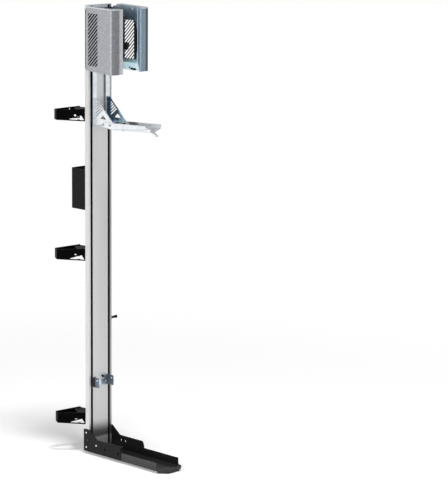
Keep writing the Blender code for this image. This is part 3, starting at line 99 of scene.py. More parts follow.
class Socket:
    """One output of a shader node, with Python's operators for values, vectors and colours."""

    def __init__(self, finish, output):
        self.finish = finish
        self.output = output

    def join(self, operation, first, second):
        kinds = {side.output.type for side in (first, second) if isinstance(side, Socket)}
        if "RGBA" in kinds:
            return self.finish.node("ShaderNodeMix", {"data_type": "RGBA", "blend_type": operation},
                                    {"Factor_Float": 1.0, "A_Color": first, "B_Color": second},
                                    "Result_Color")
        kind = "ShaderNodeVectorMath" if "VECTOR" in kinds else "ShaderNodeMath"
        return self.finish.node(kind, {"operation": operation}, {0: first, 1: second})

    def __add__(self, other):
        return self.join("ADD", self, other)

    def __radd__(self, other):
        return self.join("ADD", other, self)

    def __sub__(self, other):
        return self.join("SUBTRACT", self, other)

    def __rsub__(self, other):
        return self.join("SUBTRACT", other, self)

    def __mul__(self, other):
        return self.join("MULTIPLY", self, other)

    def __rmul__(self, other):
        return self.join("MULTIPLY", other, self)

    def __abs__(self):
        return self.finish.node("ShaderNodeMath", {"operation": "ABSOLUTE"}, {0: self})

    def smooth(self, start, end, low=0.0, high=1.0):
        """Goes from low to high, with eased ends, as this value goes from start to end."""
        return self.finish.node("ShaderNodeMapRange", {"interpolation_type": "SMOOTHSTEP"},
                                {"Value": self, "From Min": start, "From Max": end,
                                 "To Min": low, "To Max": high})

    def mix(self, first, second):
        """The first colour where this value is 0, and the second where it is 1."""
        return self.finish.node("ShaderNodeMix", {"data_type": "RGBA"},
                                {"Factor_Float": self, "A_Color": first, "B_Color": second},
                                "Result_Color")


class Finish:
    """A material in the making: a Principled shader, and one method that adds any other node."""

    def __init__(self, name, colour, roughness, metallic=0.0, **constants):
        self.material = bpy.data.materials.new(name)
        self.material.use_nodes = True
        tree = self.material.node_tree
        self.nodes = tree.nodes
        self.links = tree.links
        self.shader = tree.nodes["Principled BSDF"]
        self.set("Base Color", colour)
        self.set("Roughness", roughness)
        self.set("Metallic", metallic)
        for key, value in constants.items():
            self.set(key.replace("_", " "), value)
        self.spot = self.node("ShaderNodeTexCoord", output="Object")

    def node(self, kind, settings=None, inputs=None, output=0):
        """Adds a node: its settings first, then the values or links of its sockets."""
        made = self.nodes.new(kind)
        for key, value in (settings or {}).items():
            setattr(made, key, value)
        for key, value in (inputs or {}).items():
            self.feed(self.find(made.inputs, key), value)
        return Socket(self, self.find(made.outputs, output))

    @staticmethod
    def find(sockets, key):
        if isinstance(key, int):
            return sockets[key]
        return next(s for s in sockets if key in (s.identifier, s.name))

    def feed(self, socket, value):
        if isinstance(value, Socket):
            self.links.new(value.output, socket)
        elif socket.type == "RGBA":
            socket.default_value = (*value[:3], 1)
        else:
            socket.default_value = value

    def set(self, key, value):
        self.feed(self.find(self.shader.inputs, key), value)

    def along(self, axis):
        """The place along the frame's X, Y or Z axis, in metres."""
        return self.node("ShaderNodeSeparateXYZ", inputs={0: self.spot}, output=axis)

    def across(self):
        """How far to the right of the column's middle."""
        return self.along(0) - AXIS_X

    def ahead(self):
        """How far in front of the column's face."""
        return FRONT_Y - self.along(1)

    def up(self):
        """How far above the floor."""
        return self.along(2) - FLOOR_Z

    def left_half(self):
        """1 to the left of the column's middle, and 0 to its right."""
        return self.across().smooth(0.0, -0.01)

    def right_half(self):
        """1 to the right of the column's middle, and 0 to its left."""
        return self.across().smooth(0.0, 0.01)

    def shaded(self, shade, colour):
        """A colour, or a socket that holds one, made lighter or darker by a shade."""
        return self.node("ShaderNodeCombineColor", inputs={0: shade, 1: shade, 2: shade}) * colour

    def noise(self, size, stretch=(1, 1, 1), detail=2.0, roughness=0.5):
        """Noise whose features are about this many metres across, longer along a stretched axis."""
        scale = tuple(1 / (size * s) for s in stretch)
        scaled = self.node("ShaderNodeMapping", inputs={"Vector": self.spot, "Scale": scale})
        return self.node("ShaderNodeTexNoise", inputs={"Vector": scaled, "Scale": 1.0,
                                                       "Detail": detail, "Roughness": roughness})

    def bump(self, height, distance, strength):
        normal = self.node("ShaderNodeBump", inputs={"Height": height, "Distance": distance,
                                                     "Strength": strength}, output="Normal")
        self.set("Normal", normal)


# Marks: painted light and painted shade on one place of a piece. A mask is 1 there and 0 elsewhere.

# Ways that a surface can look: an axis, and the direction along it
LEFT, RIGHT, FORWARD, UPWARD = (0, -1.0), (0, 1.0), (1, -1.0), (2, 1.0)

# Painted shade: the share of the tone it takes away inside a shell, behind the louvres
SHELL_DARK = 0.97               # share of the tone that is lost inside a shell


def facing(finish, way):
    """Mask of the surfaces that look one way. The ways are the world's, the part's only at rest."""
    axis, sign = way
    normal = finish.node("ShaderNodeNewGeometry", output="Normal")
    along = finish.node("ShaderNodeSeparateXYZ", inputs={0: normal}, output=axis)
    return (along * sign).smooth(0.55, 0.85)


def deepened(*painted_light):
    """Painted shade: a shade of 1 that each mask takes down by its own share."""
    shade = 1.0
    for mask, share in painted_light:
        shade = shade * (1.0 - mask * share)
    return shade


def inside_shell(coat):
    """Mask of the faces inside a shell, where painted shade leaves them nearly black behind the
    louvres.
    """
    walls = facing(coat, RIGHT) * coat.left_half() + facing(coat, LEFT) * coat.right_half()
    back = facing(coat, FORWARD) * coat.ahead().smooth(0.034, 0.028)
    below_rim = coat.up().smooth(HEAD_TOP - 0.014, HEAD_TOP - 0.020)
    return (walls * abs(coat.across()).smooth(0.090, 0.098) + back) * below_rim


def head_painted_light(coat):
    """Left shell: painted highlights on the bends at its front corners and along its inner edge,
    painted shade on its front, and painted shade that leaves it near black inside.
    """
    bend_highlight, paler, deeper = 0.55, 0.75, 0.40
    ahead = coat.ahead()
    aside = abs(coat.across())
    bend = abs(ahead - (HEAD_FRONT - 0.0062)).smooth(0.0035, 0.0012)
    bend = bend * aside.smooth(HEAD_HALF - 0.006, HEAD_HALF - 0.002)
    edge = abs(aside - (LIP_V + 0.0035)).smooth(0.0032, 0.0015)
    front = facing(coat, FORWARD) * ahead.smooth(0.10, 0.12)
    shade = 1.0 + bend * bend_highlight + front * (edge * paler - deeper)
    return shade * deepened((inside_shell(coat), SHELL_DARK))


def cool_painted_light(coat):
    """Right shell: painted shade on the narrow face at its corner and on its front, a painted
    highlight along its inner edge, and painted shade that leaves it near black inside.
    """
    darker, paler = 0.68, 0.35
    across = coat.across()
    corner = across.smooth(HEAD_HALF - 0.0185, HEAD_HALF - 0.0165)
    corner = corner * coat.ahead().smooth(0.172, 0.176)
    edge = abs(across - (LIP_V + 0.002)).smooth(0.003, 0.001)
    shade = 1.0 - corner * darker + edge * paler
    return shade * deepened((facing(coat, FORWARD), 0.13), (inside_shell(coat), SHELL_DARK))


def wall_painted_light(metal):
    """Inner walls: painted shade, dark behind the louvres and deeper towards the top, painted light
    towards the foot, and painted shade at the left wall's front edge.
    """
    ahead = metal.ahead()
    up = metal.up()
    outer = facing(metal, RIGHT) * metal.right_half() + facing(metal, LEFT) * metal.left_half()
    back = facing(metal, FORWARD) * ahead.smooth(0.034, 0.030)
    behind = outer * ahead.smooth(0.165, 0.160) + back * abs(metal.across()).smooth(0.0485, 0.0505)
    behind = behind * up.smooth(HEAD_TOP - 0.004, HEAD_TOP - 0.010)
    high = up.smooth(1.80, 1.90) * ahead.smooth(0.172, 0.160)
    edge = ahead.smooth(0.172, 0.176) * metal.left_half()
    return deepened((behind, 0.985), (high, 0.22), (edge, 0.42)) * up.smooth(1.75, 1.66, 1.0, 1.22)


def column_painted_light(metal):
    """Painted shade: a soft fall of tone across the face, a darker right edge, and a dark band
    above the tray.
    """
    across = metal.across()
    up = metal.up()
    band = up.smooth(0.150, 0.088) * up.smooth(0.062, 0.076) * facing(metal, FORWARD)
    fall = across.smooth(-0.045, 0.045, 1.04, 0.98) * across.smooth(0.053, 0.056, 1.0, 0.60)
    return fall * deepened((band, 0.80))


def strip_painted_shade(metal):
    """Painted shade on the right strip's inner side."""
    return deepened((facing(metal, LEFT) * metal.right_half(), 0.88))


def tray_painted_light(coat):
    """Painted shade that deepens the black inside the tray, and painted light towards the top of
    its wall.
    """
    inside = facing(coat, UPWARD) + facing(coat, LEFT) * coat.right_half()
    return coat.up().smooth(0.010, 0.042, 0.95, 1.45) * deepened((inside, 0.80))


def guide_painted_light(metal):
    """Painted shade on both ears and on the web's right half, and painted light on the web's left
    half.
    """
    across = metal.across()
    left_ear = across.smooth(-0.030, -0.024, 0.55, 1.75)
    right_half = across.smooth(-0.004, 0.006, 1.0, 0.42)
    return left_ear * right_half * across.smooth(0.036, 0.040, 1.0, 0.75)


def arm_painted_light(metal):
    """Painted shade on the arm's far wall, floor, far rim and end, and painted light on its right
    half.
    """
    across = metal.across()
    ahead = metal.ahead()
    looks_left, looks_up = facing(metal, LEFT), facing(metal, UPWARD)
    far = looks_left * metal.right_half() * ahead.smooth(0.205, 0.165) * ahead.smooth(0.124, 0.134)
    floor = looks_up * ahead.smooth(0.215, 0.175)
    far_floor = looks_up * across.smooth(0.0, 0.002) * ahead.smooth(0.238, 0.250)
    from_low = ahead - ARM_LOW_U
    rim = metal.up() - ARM_LOW_Z - abs(from_low) * ARM_RISE - from_low * ARM_LEAN
    rim = rim.smooth(0.0026, 0.0010) * ahead.smooth(0.318, 0.316) * looks_left
    end = facing(metal, FORWARD) * ahead.smooth(0.30, 0.31) * across.smooth(-0.020, -0.014)
    shade = deepened((far, 0.82), (floor, 0.72), (far_floor, 0.62), (rim, 0.45), (end, 0.52))
    return shade * across.smooth(0.004, 0.010, 1.0, 1.2)


def gusset_painted_light(metal):
    """Painted light: paler towards the gusset's tip and along its foot."""
    foot = metal.up().smooth(1.431, 1.419) * metal.ahead().smooth(0.02, 0.05)
    return metal.ahead().smooth(0.060, 0.092, 1.0, 4.0) + foot * 4.0


def gusset_edge_painted_light(metal):
    """The far gusset's long edge: painted shade leaves it nearly black above, and painted light
    makes it grey below.
    """
    return metal.ahead().smooth(0.060, 0.078, 1.0, 9.0)


def bolt_painted_shade(metal):
    """Painted shade makes the bolts' ends on the far side nearly black."""
    return metal.across().smooth(0.01, 0.03, 1.0, 0.12)


# Kinds of finish

def powder_coat(name, colour, roughness, mottle, fleck=0.0, shine=0.4, painted_light=None):
    """Powder coat: fine orange peel, faint clouds, flecks where it has metal in it, and painted
    light and shade.
    """
    coat = Finish(name, colour, roughness, Specular_IOR_Level=shine)
    clouds = coat.noise(18 * MM, detail=3)
    grains = coat.noise(2.2 * MM, detail=1)
    flecks = coat.noise(4.5 * MM, detail=3, roughness=0.7)
    shade = 1.0 + (clouds - 0.5) * mottle + (grains - 0.5) * mottle * 0.7 + (flecks - 0.5) * fleck
    if painted_light:
        shade = shade * painted_light(coat)
    coat.set("Base Color", coat.shaded(shade, colour))
    coat.set("Roughness", roughness + (grains - 0.5) * 0.12)
    coat.bump(coat.noise(0.7 * MM, detail=1), 0.05 * MM, 0.5)
    return coat


def brushed_metal(name, colour, roughness, stretch, grain, metallic=1.0, painted_light=None):
    """Drawn or brushed metal, its fine lines along the stretched axis, and painted light and shade.
    """
    metal = Finish(name, colour, roughness, metallic)
    lines = metal.noise(0.7 * MM, stretch, detail=3)
    broad = metal.noise(9 * MM, stretch, detail=1)
    shade = 1.0 + (lines - 0.5) * grain + (broad - 0.5) * grain * 0.8
    if painted_light:
        shade = shade * painted_light(metal)
    metal.set("Base Color", metal.shaded(shade, colour))
    metal.set("Roughness", roughness + (lines - 0.5) * 0.16)
    metal.bump(lines, 0.02 * MM, 0.5)
    return metal


def zinc_plate(name, tints, roughness, painted_light=None):
    """Zinc plate: soft clouds between two tints, with a fine grain, and painted light and shade."""
    metal = Finish(name, tints[0], roughness, 1.0)
    clouds = metal.noise(26 * MM, detail=4, roughness=0.6)
    grain = metal.noise(1.1 * MM, detail=2)
    shade = 1.0 + (grain - 0.5) * 0.10
    if painted_light:
        shade = shade * painted_light(metal)
    metal.set("Base Color", metal.shaded(shade, clouds.smooth(0.36, 0.66).mix(*tints)))
    metal.set("Roughness", roughness + (grain - 0.5) * 0.14 + (clouds - 0.5) * 0.10)
    metal.bump(grain, 0.03 * MM, 0.35)
    return metal


def moulded(name, colour, roughness, grain_size, grain_height):
    """Moulded plastic or rubber with a spark-eroded grain."""
    plastic = Finish(name, colour, roughness, Specular_IOR_Level=0.35)
    grain = plastic.noise(grain_size, detail=2)
    plastic.set("Base Color", plastic.shaded(1.0 + (grain - 0.5) * 0.35, colour))
    plastic.set("Roughness", roughness + (grain - 0.5) * 0.2)
    plastic.bump(grain, grain_height, 0.6)
    return plastic


# The two tints of each zinc plate
BRIGHT_TINTS = ((0.66, 0.71, 0.76), (0.78, 0.83, 0.88))
# WALL_TINTS: the inner walls' zinc, with a blue tint that is partly its own and partly a painted
# reflection
WALL_TINTS = ((0.55, 0.73, 0.88), (0.68, 0.84, 0.98))
GUIDE_TINTS = ((0.34, 0.40, 0.46), (0.50, 0.56, 0.62))
ARM_TINTS = ((0.80, 0.83, 0.86), (0.90, 0.93, 0.95))
# FAR_TINTS and EDGE_TINTS: the arm's zinc in painted shade, deep blue for the far gusset and the
# bar, near black for the far gusset's lip
FAR_TINTS = ((0.10, 0.15, 0.20), (0.20, 0.27, 0.34))
EDGE_TINTS = ((0.03, 0.04, 0.05), (0.05, 0.07, 0.09))

# How far the noise is stretched along X, Y and Z
EVEN, ALONG_X, ALONG_Z = (1, 1, 1), (20, 1, 1), (1, 1, 60)


def make_coats(settings):
    """The powder coats and the moulded blacks by name."""
    return {
        "black_steel": powder_coat("bracket_black", (0.0012, 0.0012, 0.0013), 0.5, 0.35,
                                   shine=0.03),
        "base_black": powder_coat("base_matt_black", settings.base_colour, 0.5, 0.5, fleck=0.5,
                                  shine=0.12),
        "tray_black": powder_coat("tray_black", settings.tray_colour, 0.45, 0.35, fleck=0.3,
                                  shine=0.2, painted_light=tray_painted_light),
        "silver_coat": powder_coat("silver_fleck_coat", settings.coat_colour, 0.5, 0.12, fleck=1.5,
                                   shine=0.2, painted_light=head_painted_light),
        "silver_cool": powder_coat("silver_coat_cool", settings.cool_coat_colour, 0.5, 0.12,
                                   fleck=0.9, shine=0.2, painted_light=cool_painted_light),
        # A paler copy of the silver coat, as a painted highlight on the hems, the column's cap and
        # the left front lip
        "silver_hem": powder_coat("silver_coat_painted_highlight", (0.60, 0.62, 0.65), 0.4, 0.08, fleck=0.3,
                                  shine=0.4),
        "charcoal": powder_coat("charcoal_coat", settings.housing_colour, 0.6, 0.30, shine=0.12),
        "screw_black": powder_coat("blackened_screws", (0.002,) * 3, 0.5, 0.25, shine=0.08),
        "slot_black": moulded("deep_black_plastic", (0.002,) * 3, 0.8, 0.5 * MM, 0.02 * MM),
        "black_plastic": moulded("black_plastic", (0.006, 0.006, 0.007), 0.5, 0.5 * MM, 0.03 * MM),
        "rubber": moulded("pad_rubber", (0.003, 0.003, 0.0035), 0.80, 0.8 * MM, 0.05 * MM),
    }


def make_metals(settings):
    """The zinc plates and the brushed metals by name."""
    return {
        "aluminium": brushed_metal("drawn_aluminium", settings.column_colour, 0.36, ALONG_Z, 0.08,
                                   metallic=0.45, painted_light=column_painted_light),
        "zinc": zinc_plate("bright_zinc", BRIGHT_TINTS, 0.30),
        "strip_zinc": zinc_plate("strip_zinc", BRIGHT_TINTS, 0.30, strip_painted_shade),
        "wall_zinc": zinc_plate("sheet_zinc_painted_blue_reflection", WALL_TINTS, 0.34, wall_painted_light),
        "guide_zinc": zinc_plate("guide_zinc", GUIDE_TINTS, 0.34, guide_painted_light),
        "near_zinc": zinc_plate("bright_arm_zinc", ARM_TINTS, 0.32),
        "arm_zinc": zinc_plate("arm_zinc", ARM_TINTS, 0.32, arm_painted_light),
        "far_zinc": zinc_plate("zinc_in_painted_shade", FAR_TINTS, 0.30, gusset_painted_light),
        "far_edge": zinc_plate("lip_zinc_near_black_painted_shade", EDGE_TINTS, 0.40, gusset_edge_painted_light),
        "bolt_steel": brushed_metal("bolt_steel", (0.46, 0.48, 0.50), 0.34, EVEN, 0.12,
                                    painted_light=bolt_painted_shade),
        "bright_screw": brushed_metal("bright_screw_steel", (0.92,) * 3, 0.30, EVEN, 0.06),
        "steel": brushed_metal("turned_steel", (0.56, 0.56, 0.57), 0.30, EVEN, 0.12),
        "spring_steel": brushed_metal("blued_spring_steel", (0.26, 0.27, 0.30), 0.32, ALONG_X,
                                      0.15),
    }


FINISHES = {}


# Shared helpers

def look(finish):
    """The material of a finish, once they are made."""
    if finish not in FINISHES:
        raise RuntimeError("make the finishes first")
    return FINISHES[finish].material


def dress(finish, *names):
    """Gives carried-over nodes their finish."""
    for name in names:
        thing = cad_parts[name]
        thing.data.materials.clear()
        thing.data.materials.append(look(finish))


def sides(pattern):
    """The left and the right name of a pair."""
    return [pattern.format(side) for side in ("left", "right")]


# Mesh making. A place is (v, u, z): to the right of the column's middle, ahead of its face, and up
# from the floor.

def place(v, u, z):
    """The world's point for a place on the object."""
    return Vector((AXIS_X + v, FRONT_Y - u, FLOOR_Z + z))


def rounded(points, radius, steps=4, closed=True):
    """The same line with its corners turned into short arcs."""
    made = []
    count = len(points)
    for k, corner in enumerate(points):
        if not closed and k in (0, count - 1):
            made.append(tuple(corner))
            continue
        here = Vector(corner)
        before = Vector(points[k - 1]) - here
        after = Vector(points[(k + 1) % count]) - here
        reach = min(radius, before.length * 0.45, after.length * 0.45)
        start = here + before.normalized() * reach
        end = here + after.normalized() * reach
        for step in range(steps + 1):
            t = step / steps
            made.append(tuple(start * (1 - t) ** 2 + here * 2 * t * (1 - t) + end * t * t))
    return made


def offset_line(points, away):
    """An open line moved sideways, its corners mitred."""
    moved = []
    for k, point in enumerate(points):
        here = Vector(point)
        ways = []
        if k > 0:
            ways.append((here - Vector(points[k - 1])).normalized())
        if k < len(points) - 1:
            ways.append((Vector(points[k + 1]) - here).normalized())
        sides_of = [Vector((-way.y, way.x)) for way in ways]
        normal = sum(sides_of, Vector((0, 0))).normalized()
        moved.append(tuple(here + normal * away / max(normal.dot(sides_of[0]), 0.3)))
    return moved


def strip_outline(line, thickness):
    """Both faces of a thin strip whose middle follows an open line."""
    return offset_line(line, thickness / 2) + offset_line(line, -thickness / 2)[::-1]


def sheet_outline(line, thickness, radius):
    """Both faces of a bent sheet: a strip whose corners are rounded."""
    return strip_outline(rounded(line, radius, 5, closed=False), thickness)


def new_piece(name, bm, finish, body, replaces=(), bevel=0.0):
    """Makes an object of the mesh, rounds its edges, dresses it and hangs it on its body."""
    bmesh.ops.recalc_face_normals(bm, faces=bm.faces)
    if bevel:
        sharp = [e for e in bm.edges if len(e.link_faces) == 2 and e.calc_face_angle() > 0.6]
        bmesh.ops.bevel(bm, geom=sharp, offset=bevel, segments=2, profile=0.5, affect="EDGES",
                        clamp_overlap=True)
    mesh = bpy.data.meshes.new(name)
    bm.to_mesh(mesh)
    bm.free()
    piece = bpy.data.objects.new(name, mesh)
    bpy.context.collection.objects.link(piece)
    mesh.materials.append(look(finish))
    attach(piece, body)
    if replaces:
        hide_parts(*replaces)
    return piece


def skin(bm, rings):
    """Joins rings of points with quads, and closes the two ends."""
    layers = [[bm.verts.new(point) for point in ring] for ring in rings]
    count = len(layers[0])
    for low, high in zip(layers, layers[1:]):
        for k in range(count):
            n = (k + 1) % count
            bm.faces.new((low[k], low[n], high[n], high[k]))
    bm.faces.new(layers[0][::-1])
    bm.faces.new(layers[-1])


def prism(bm, outline, low, high):
    """A straight solid between two places along z. low and high may be functions of (v, u)."""
    def level(edge, point):
        return edge(*point) if callable(edge) else edge
    skin(bm, [[place(v, u, level(edge, (v, u))) for v, u in outline] for edge in (low, high)])


def slab(bm, outline, low, high):
    """A plate whose outline of (u, z) points is swept from one place across to another."""
    skin(bm, [[place(v, u, z) for u, z in outline] for v in (low, high)])


def turned(bm, profile, start, way, steps=24):
    """A solid of revolution: profile of (along, radius) points from start, along a direction."""
    axis = Vector(way).normalized()
    across = axis.orthogonal().normalized()
    up = axis.cross(across)
    rings = []
    for along, radius in profile:
        ring = []
        for k in range(steps):
            turn = math.tau * k / steps
            out = across * math.cos(turn) + up * math.sin(turn)
            ring.append(start + axis * along + out * radius)
        rings.append(ring)
    skin(bm, rings)


def cut(piece, cutter):
    """Cuts one mesh from another for good."""
    mesh = bpy.data.meshes.new("cutter")
    bmesh.ops.recalc_face_normals(cutter, faces=cutter.faces)
    cutter.to_mesh(mesh)
    cutter.free()
    tool = bpy.data.objects.new("cutter", mesh)
    bpy.context.collection.objects.link(tool)
    change = piece.modifiers.new("cut", "BOOLEAN")
    change.object = tool
    change.solver = "EXACT"
    graph = bpy.context.evaluated_depsgraph_get()
    done = bpy.data.meshes.new_from_object(piece.evaluated_get(graph))
    piece.modifiers.clear()
    old = piece.data
    piece.data = done
    bpy.data.meshes.remove(old)
    done.name = piece.name
    bpy.data.objects.remove(tool)
    bpy.data.meshes.remove(mesh)


# Settings that a user may change

def number_setting(name, description, value, low=0.0, **limits):
    return bpy.props.FloatProperty(name=name, description=description, default=value, min=low,
                                   **limits)


def length_setting(name, description, value):
    return number_setting(name, description, value, precision=4, unit="LENGTH")


def colour_setting(name, description, value):
    return bpy.props.FloatVectorProperty(name=name, description=description, default=value, size=3,
                                         min=0.0, max=1.0, subtype="COLOR")


class FinishSettings(bpy.types.PropertyGroup):
    """Colours of the main finishes."""

    coat_colour: colour_setting("Head coat", "Flecked coat of the left head shell",
                                (0.40, 0.41, 0.44))
    cool_coat_colour: colour_setting("Cool head coat", "Coat of the right head shell",
                                     (0.30, 0.39, 0.46))
    column_colour: colour_setting("Column", "Drawn aluminium of the column", (0.71, 0.71, 0.715))
    base_colour: colour_setting("Base plates", "Matt black of the base plates",
                                (0.011, 0.011, 0.012))
    tray_colour: colour_setting("Tray", "Black of the wheel tray", (0.042, 0.042, 0.043))
    housing_colour: colour_setting("Housing", "Charcoal of the lift spring's housing",
                                   (0.0085, 0.0085, 0.009))


class HeadSettings(bpy.types.PropertyGroup):
    """Sizes of the head's louvres, hem and pads."""

    louvre_pitch: length_setting("Louvre pitch", "Height from one louvre slot to the next", 0.0156)
    louvre_gap: length_setting("Louvre gap", "Height of each louvre slot", 0.0096)
    hem_height: length_setting("Hem height", "Height of the hem along the shells' upper edges",
                               0.0055)
    pad_thickness: length_setting("Pad thickness", "Thickness of the pads round the windows", 0.003)


class ArmSettings(bpy.types.PropertyGroup):
    """Sizes of the support arm's bracket."""

    gusset_thickness: length_setting("Gusset thickness", "Thickness of the gussets' sheet", 0.0018)
    bolt_hole: length_setting("Bolt hole", "Radius of the bolt holes in the gussets", 0.0036)


class StageSettings(bpy.types.PropertyGroup):
    """Light, floor and camera."""

    lamp_power: number_setting("Lamp", "Power of the soft lamp, high in front", 650.0,
                               unit="POWER")
    sky_level: number_setting("Sky level", "Plain light from all round", 0.04, max=2.0)
    side_level: number_setting("Side level", "Soft light added from the left", 2.3, max=4.0)
    floor_level: number_setting("Floor level", "Light that falls on the open floor", 0.84, max=2.0)
    lens: number_setting("Lens", "Focal length in millimetres", 178.35, 10.0, unit="CAMERA")


# Pieces

class BIKEMOUNT_OT_finishes(bpy.types.Operator):
    """Make the finishes that the other steps use"""

    bl_idname = "bikemount.finishes"
    bl_label = "Finishes"

    def execute(self, context):
        settings = context.scene.bikemount_finishes
        FINISHES.update(make_coats(settings))
        FINISHES.update(make_metals(settings))
        return {"FINISHED"}


class BIKEMOUNT_OT_wall_brackets(bpy.types.Operator):
    """Dress the wall brackets, their pins, bushes and the column's knuckles"""

    bl_idname = "bikemount.wall_brackets"
    bl_label = "Wall brackets"

    def execute(self, context):
        for level in ("top", "middle", "bottom"):
            dress("black_steel", f"wall_bracket_{level}", f"knuckle_{level}")
            dress("screw_black", f"pivot_pin_{level}")
            dress("black_plastic", f"swivel_bush_{level}")
        return {"FINISHED"}


def make_slot_liner(side, name):
    """Thin black glide strip inside a slot, in the gap between its walls and the shoes; its deep
    black is also painted shade for the slot.
    """
    neck, room = SLOT_W / 2 - 0.0002, 0.00935
    mouth, lip, floor = -0.0003, -0.00318, -0.01183
    thin, short = 0.00025, 0.0005
    half = [(neck, mouth), (neck, lip), (room, lip), (room, floor)]
    line = [(side * SLOT_V - v, u) for v, u in half]
    line += [(side * SLOT_V + v, u) for v, u in half[::-1]]
    bm = bmesh.new()
    prism(bm, strip_outline(line, thin), COLUMN_LOW + short, COLUMN_TOP - short)
    new_piece(f"slot_liner_{name}", bm, "slot_black", "column_body")


def make_screw_head(name, at, way, finish, radius=0.0040, high=0.0019):
    """Low domed head with a socket."""
    sunk = -0.0016
    profile = [(sunk, 0.8), (0, 1.0), (high * 0.45, 0.96), (high * 0.8, 0.78), (high, 0.5),
               (high * 0.55, 0.42)]
    bm = bmesh.new()
    turned(bm, [(along, radius * share) for along, share in profile], place(*at), way, 20)
    new_piece(name, bm, finish, "column_body")


class BIKEMOUNT_OT_column(bpy.types.Operator):
    """Dress the slotted column and its cap"""

    bl_idname = "bikemount.column"
    bl_label = "Column"

    def execute(self, context):
        dress("aluminium", "column")
        # The cap's paler silver is a painted highlight.
        dress("silver_hem", "column_top_cap")
        make_slot_liner(-1, "left")
        make_slot_liner(1, "right")
        make_screw_head("stub_screw", STUB_SCREW, (0, -1, 0), "screw_black", 0.0048, 0.010)
        return {"FINISHED"}


def make_tray_nose():
    """Wide nose of the tray: a flat tongue with an upturned rim round its outer edge."""
    bend = 0.008
    low, floor = 0.0100, 0.0124
    rim_low, rim_top, rim_thick = 0.0120, 0.0165, 0.0022
    edge = [(-0.056, 0.402), (-0.053, 0.4110), (-0.034, 0.4500), (0.0420, 0.4500), (0.0625, 0.4300),
            (0.0625, 0.402)]
    rim = [(-0.0525, 0.4120), (-0.0335, 0.4488), (0.0415, 0.4488), (0.0615, 0.4295),
           (0.0615, 0.408)]
    bm = bmesh.new()
    prism(bm, rounded(edge, bend), low, floor)
    prism(bm, strip_outline(rounded(rim, bend, closed=False), rim_thick), rim_low, rim_top)
    new_piece("tray_nose", bm, "tray_black", "column_body", bevel=0.0004)


class BIKEMOUNT_OT_base(bpy.types.Operator):
    """Dress the wheel tray, its side plates and their screws"""

    bl_idname = "bikemount.base"
    bl_label = "Base"

    def execute(self, context):
        dress("base_black", *sides("base_plate_{}"))
        dress("tray_black", "wheel_tray")
        make_tray_nose()
        for number, (u, z) in enumerate(BASE_SCREWS, 1):
            spot = (BASE_SCREW_V, u, z)
            make_screw_head(f"base_screw_{number}", spot, (-1, 0, 0), "bright_screw")
        for number in (1, 2):
            dress("screw_black", *sides("tray_screw_{}_" + str(number)))
        return {"FINISHED"}


class BIKEMOUNT_OT_lift_spring(bpy.types.Operator):
    """Dress the lift spring's housing, axle and drum"""

    bl_idname = "bikemount.lift_spring"
    bl_label = "Lift spring"

    def execute(self, context):
        dress("charcoal", "spring_housing")
        dress("steel", "drum_axle")
        dress("spring_steel", "spring_drum")
        return {"FINISHED"}


class BIKEMOUNT_OT_guide_and_lock(bpy.types.Operator):
    """Dress the rear wheel guide and the lock knob"""

    bl_idname = "bikemount.guide_and_lock"
    bl_label = "Wheel guide and lock"

    def execute(self, context):
        dress("guide_zinc", "rear_wheel_guide")
        dress("steel", "knob_plate", "lock_plunger", *sides("guide_screw_{}"))
        dress("slot_black", "lock_knob")
        return {"FINISHED"}


class BIKEMOUNT_OT_carriage(bpy.types.Operator):
    """Dress the carriage's strips, shoes and back plate"""

    bl_idname = "bikemount.carriage"
    bl_label = "Carriage"

    def execute(self, context):
        dress("black_steel", "carriage_plate")
        dress("strip_zinc", *sides("back_strip_{}"))
        for level in ("lower", "upper"):
            dress("black_plastic", *sides("slide_shoe_" + level + "_{}"))
        return {"FINISHED"}


def shell_level(at_back, at_front):
    """Height of a shell's edge, which runs down a little towards the front."""
    def level(v, u):
        t = (u - HEAD_BACK) / (HEAD_FRONT - HEAD_BACK)
        return at_back + (at_front - at_back) * min(max(t, 0), 1)
    return level


def clipped(outline, level, sign):
    """The part of an outline of (u, z) points above a level (sign 1) or below it (sign -1)."""
    kept = []
    for k, (u, z) in enumerate(outline):
        last_u, last_z = outline[k - 1]
        inside, was_inside = ((height - level) * sign >= 0 for height in (z, last_z))
        if inside != was_inside:
            kept.append((last_u + (u - last_u) * ((level - last_z) / (z - last_z)), level))
        if inside:
            kept.append((u, z))
    return kept


def add_louvre(bm, foot, gap, faces):
    """One slanted slot, trimmed by the ends of the row, and left out where little remains."""
    head = foot + LOUVRE_RISE
    outline = clipped([(LOUVRE_BACK, foot), (LOUVRE_FRONT, head), (LOUVRE_FRONT, head + gap),
                       (LOUVRE_BACK, foot + gap)], LOUVRE_SILL, 1)
    if len(outline) > 2:
        outline = clipped(outline, LOUVRE_CROWN, -1)
    heights = [z for u, z in outline]
    if len(outline) > 2 and max(heights) - min(heights) > gap * 0.75:
        slab(bm, outline, *faces)


def louvre_cutter(settings, side):
    """All the slots of one shell: those that start from the sill up, then those from below it."""
    reach, least = 0.006, 0.006
    faces = sorted((side * (HEAD_HALF - reach), side * (HEAD_HALF + reach)))
    cutter = bmesh.new()
    foot = LOUVRE_SILL
    while foot < LOUVRE_CROWN - least:
        add_louvre(cutter, foot, settings.louvre_gap, faces)
        foot += settings.louvre_pitch
    foot = LOUVRE_SILL - settings.louvre_pitch
    while foot > LOUVRE_SILL - LOUVRE_RISE:
        add_louvre(cutter, foot, settings.louvre_gap, faces)
        foot -= settings.louvre_pitch
    return cutter


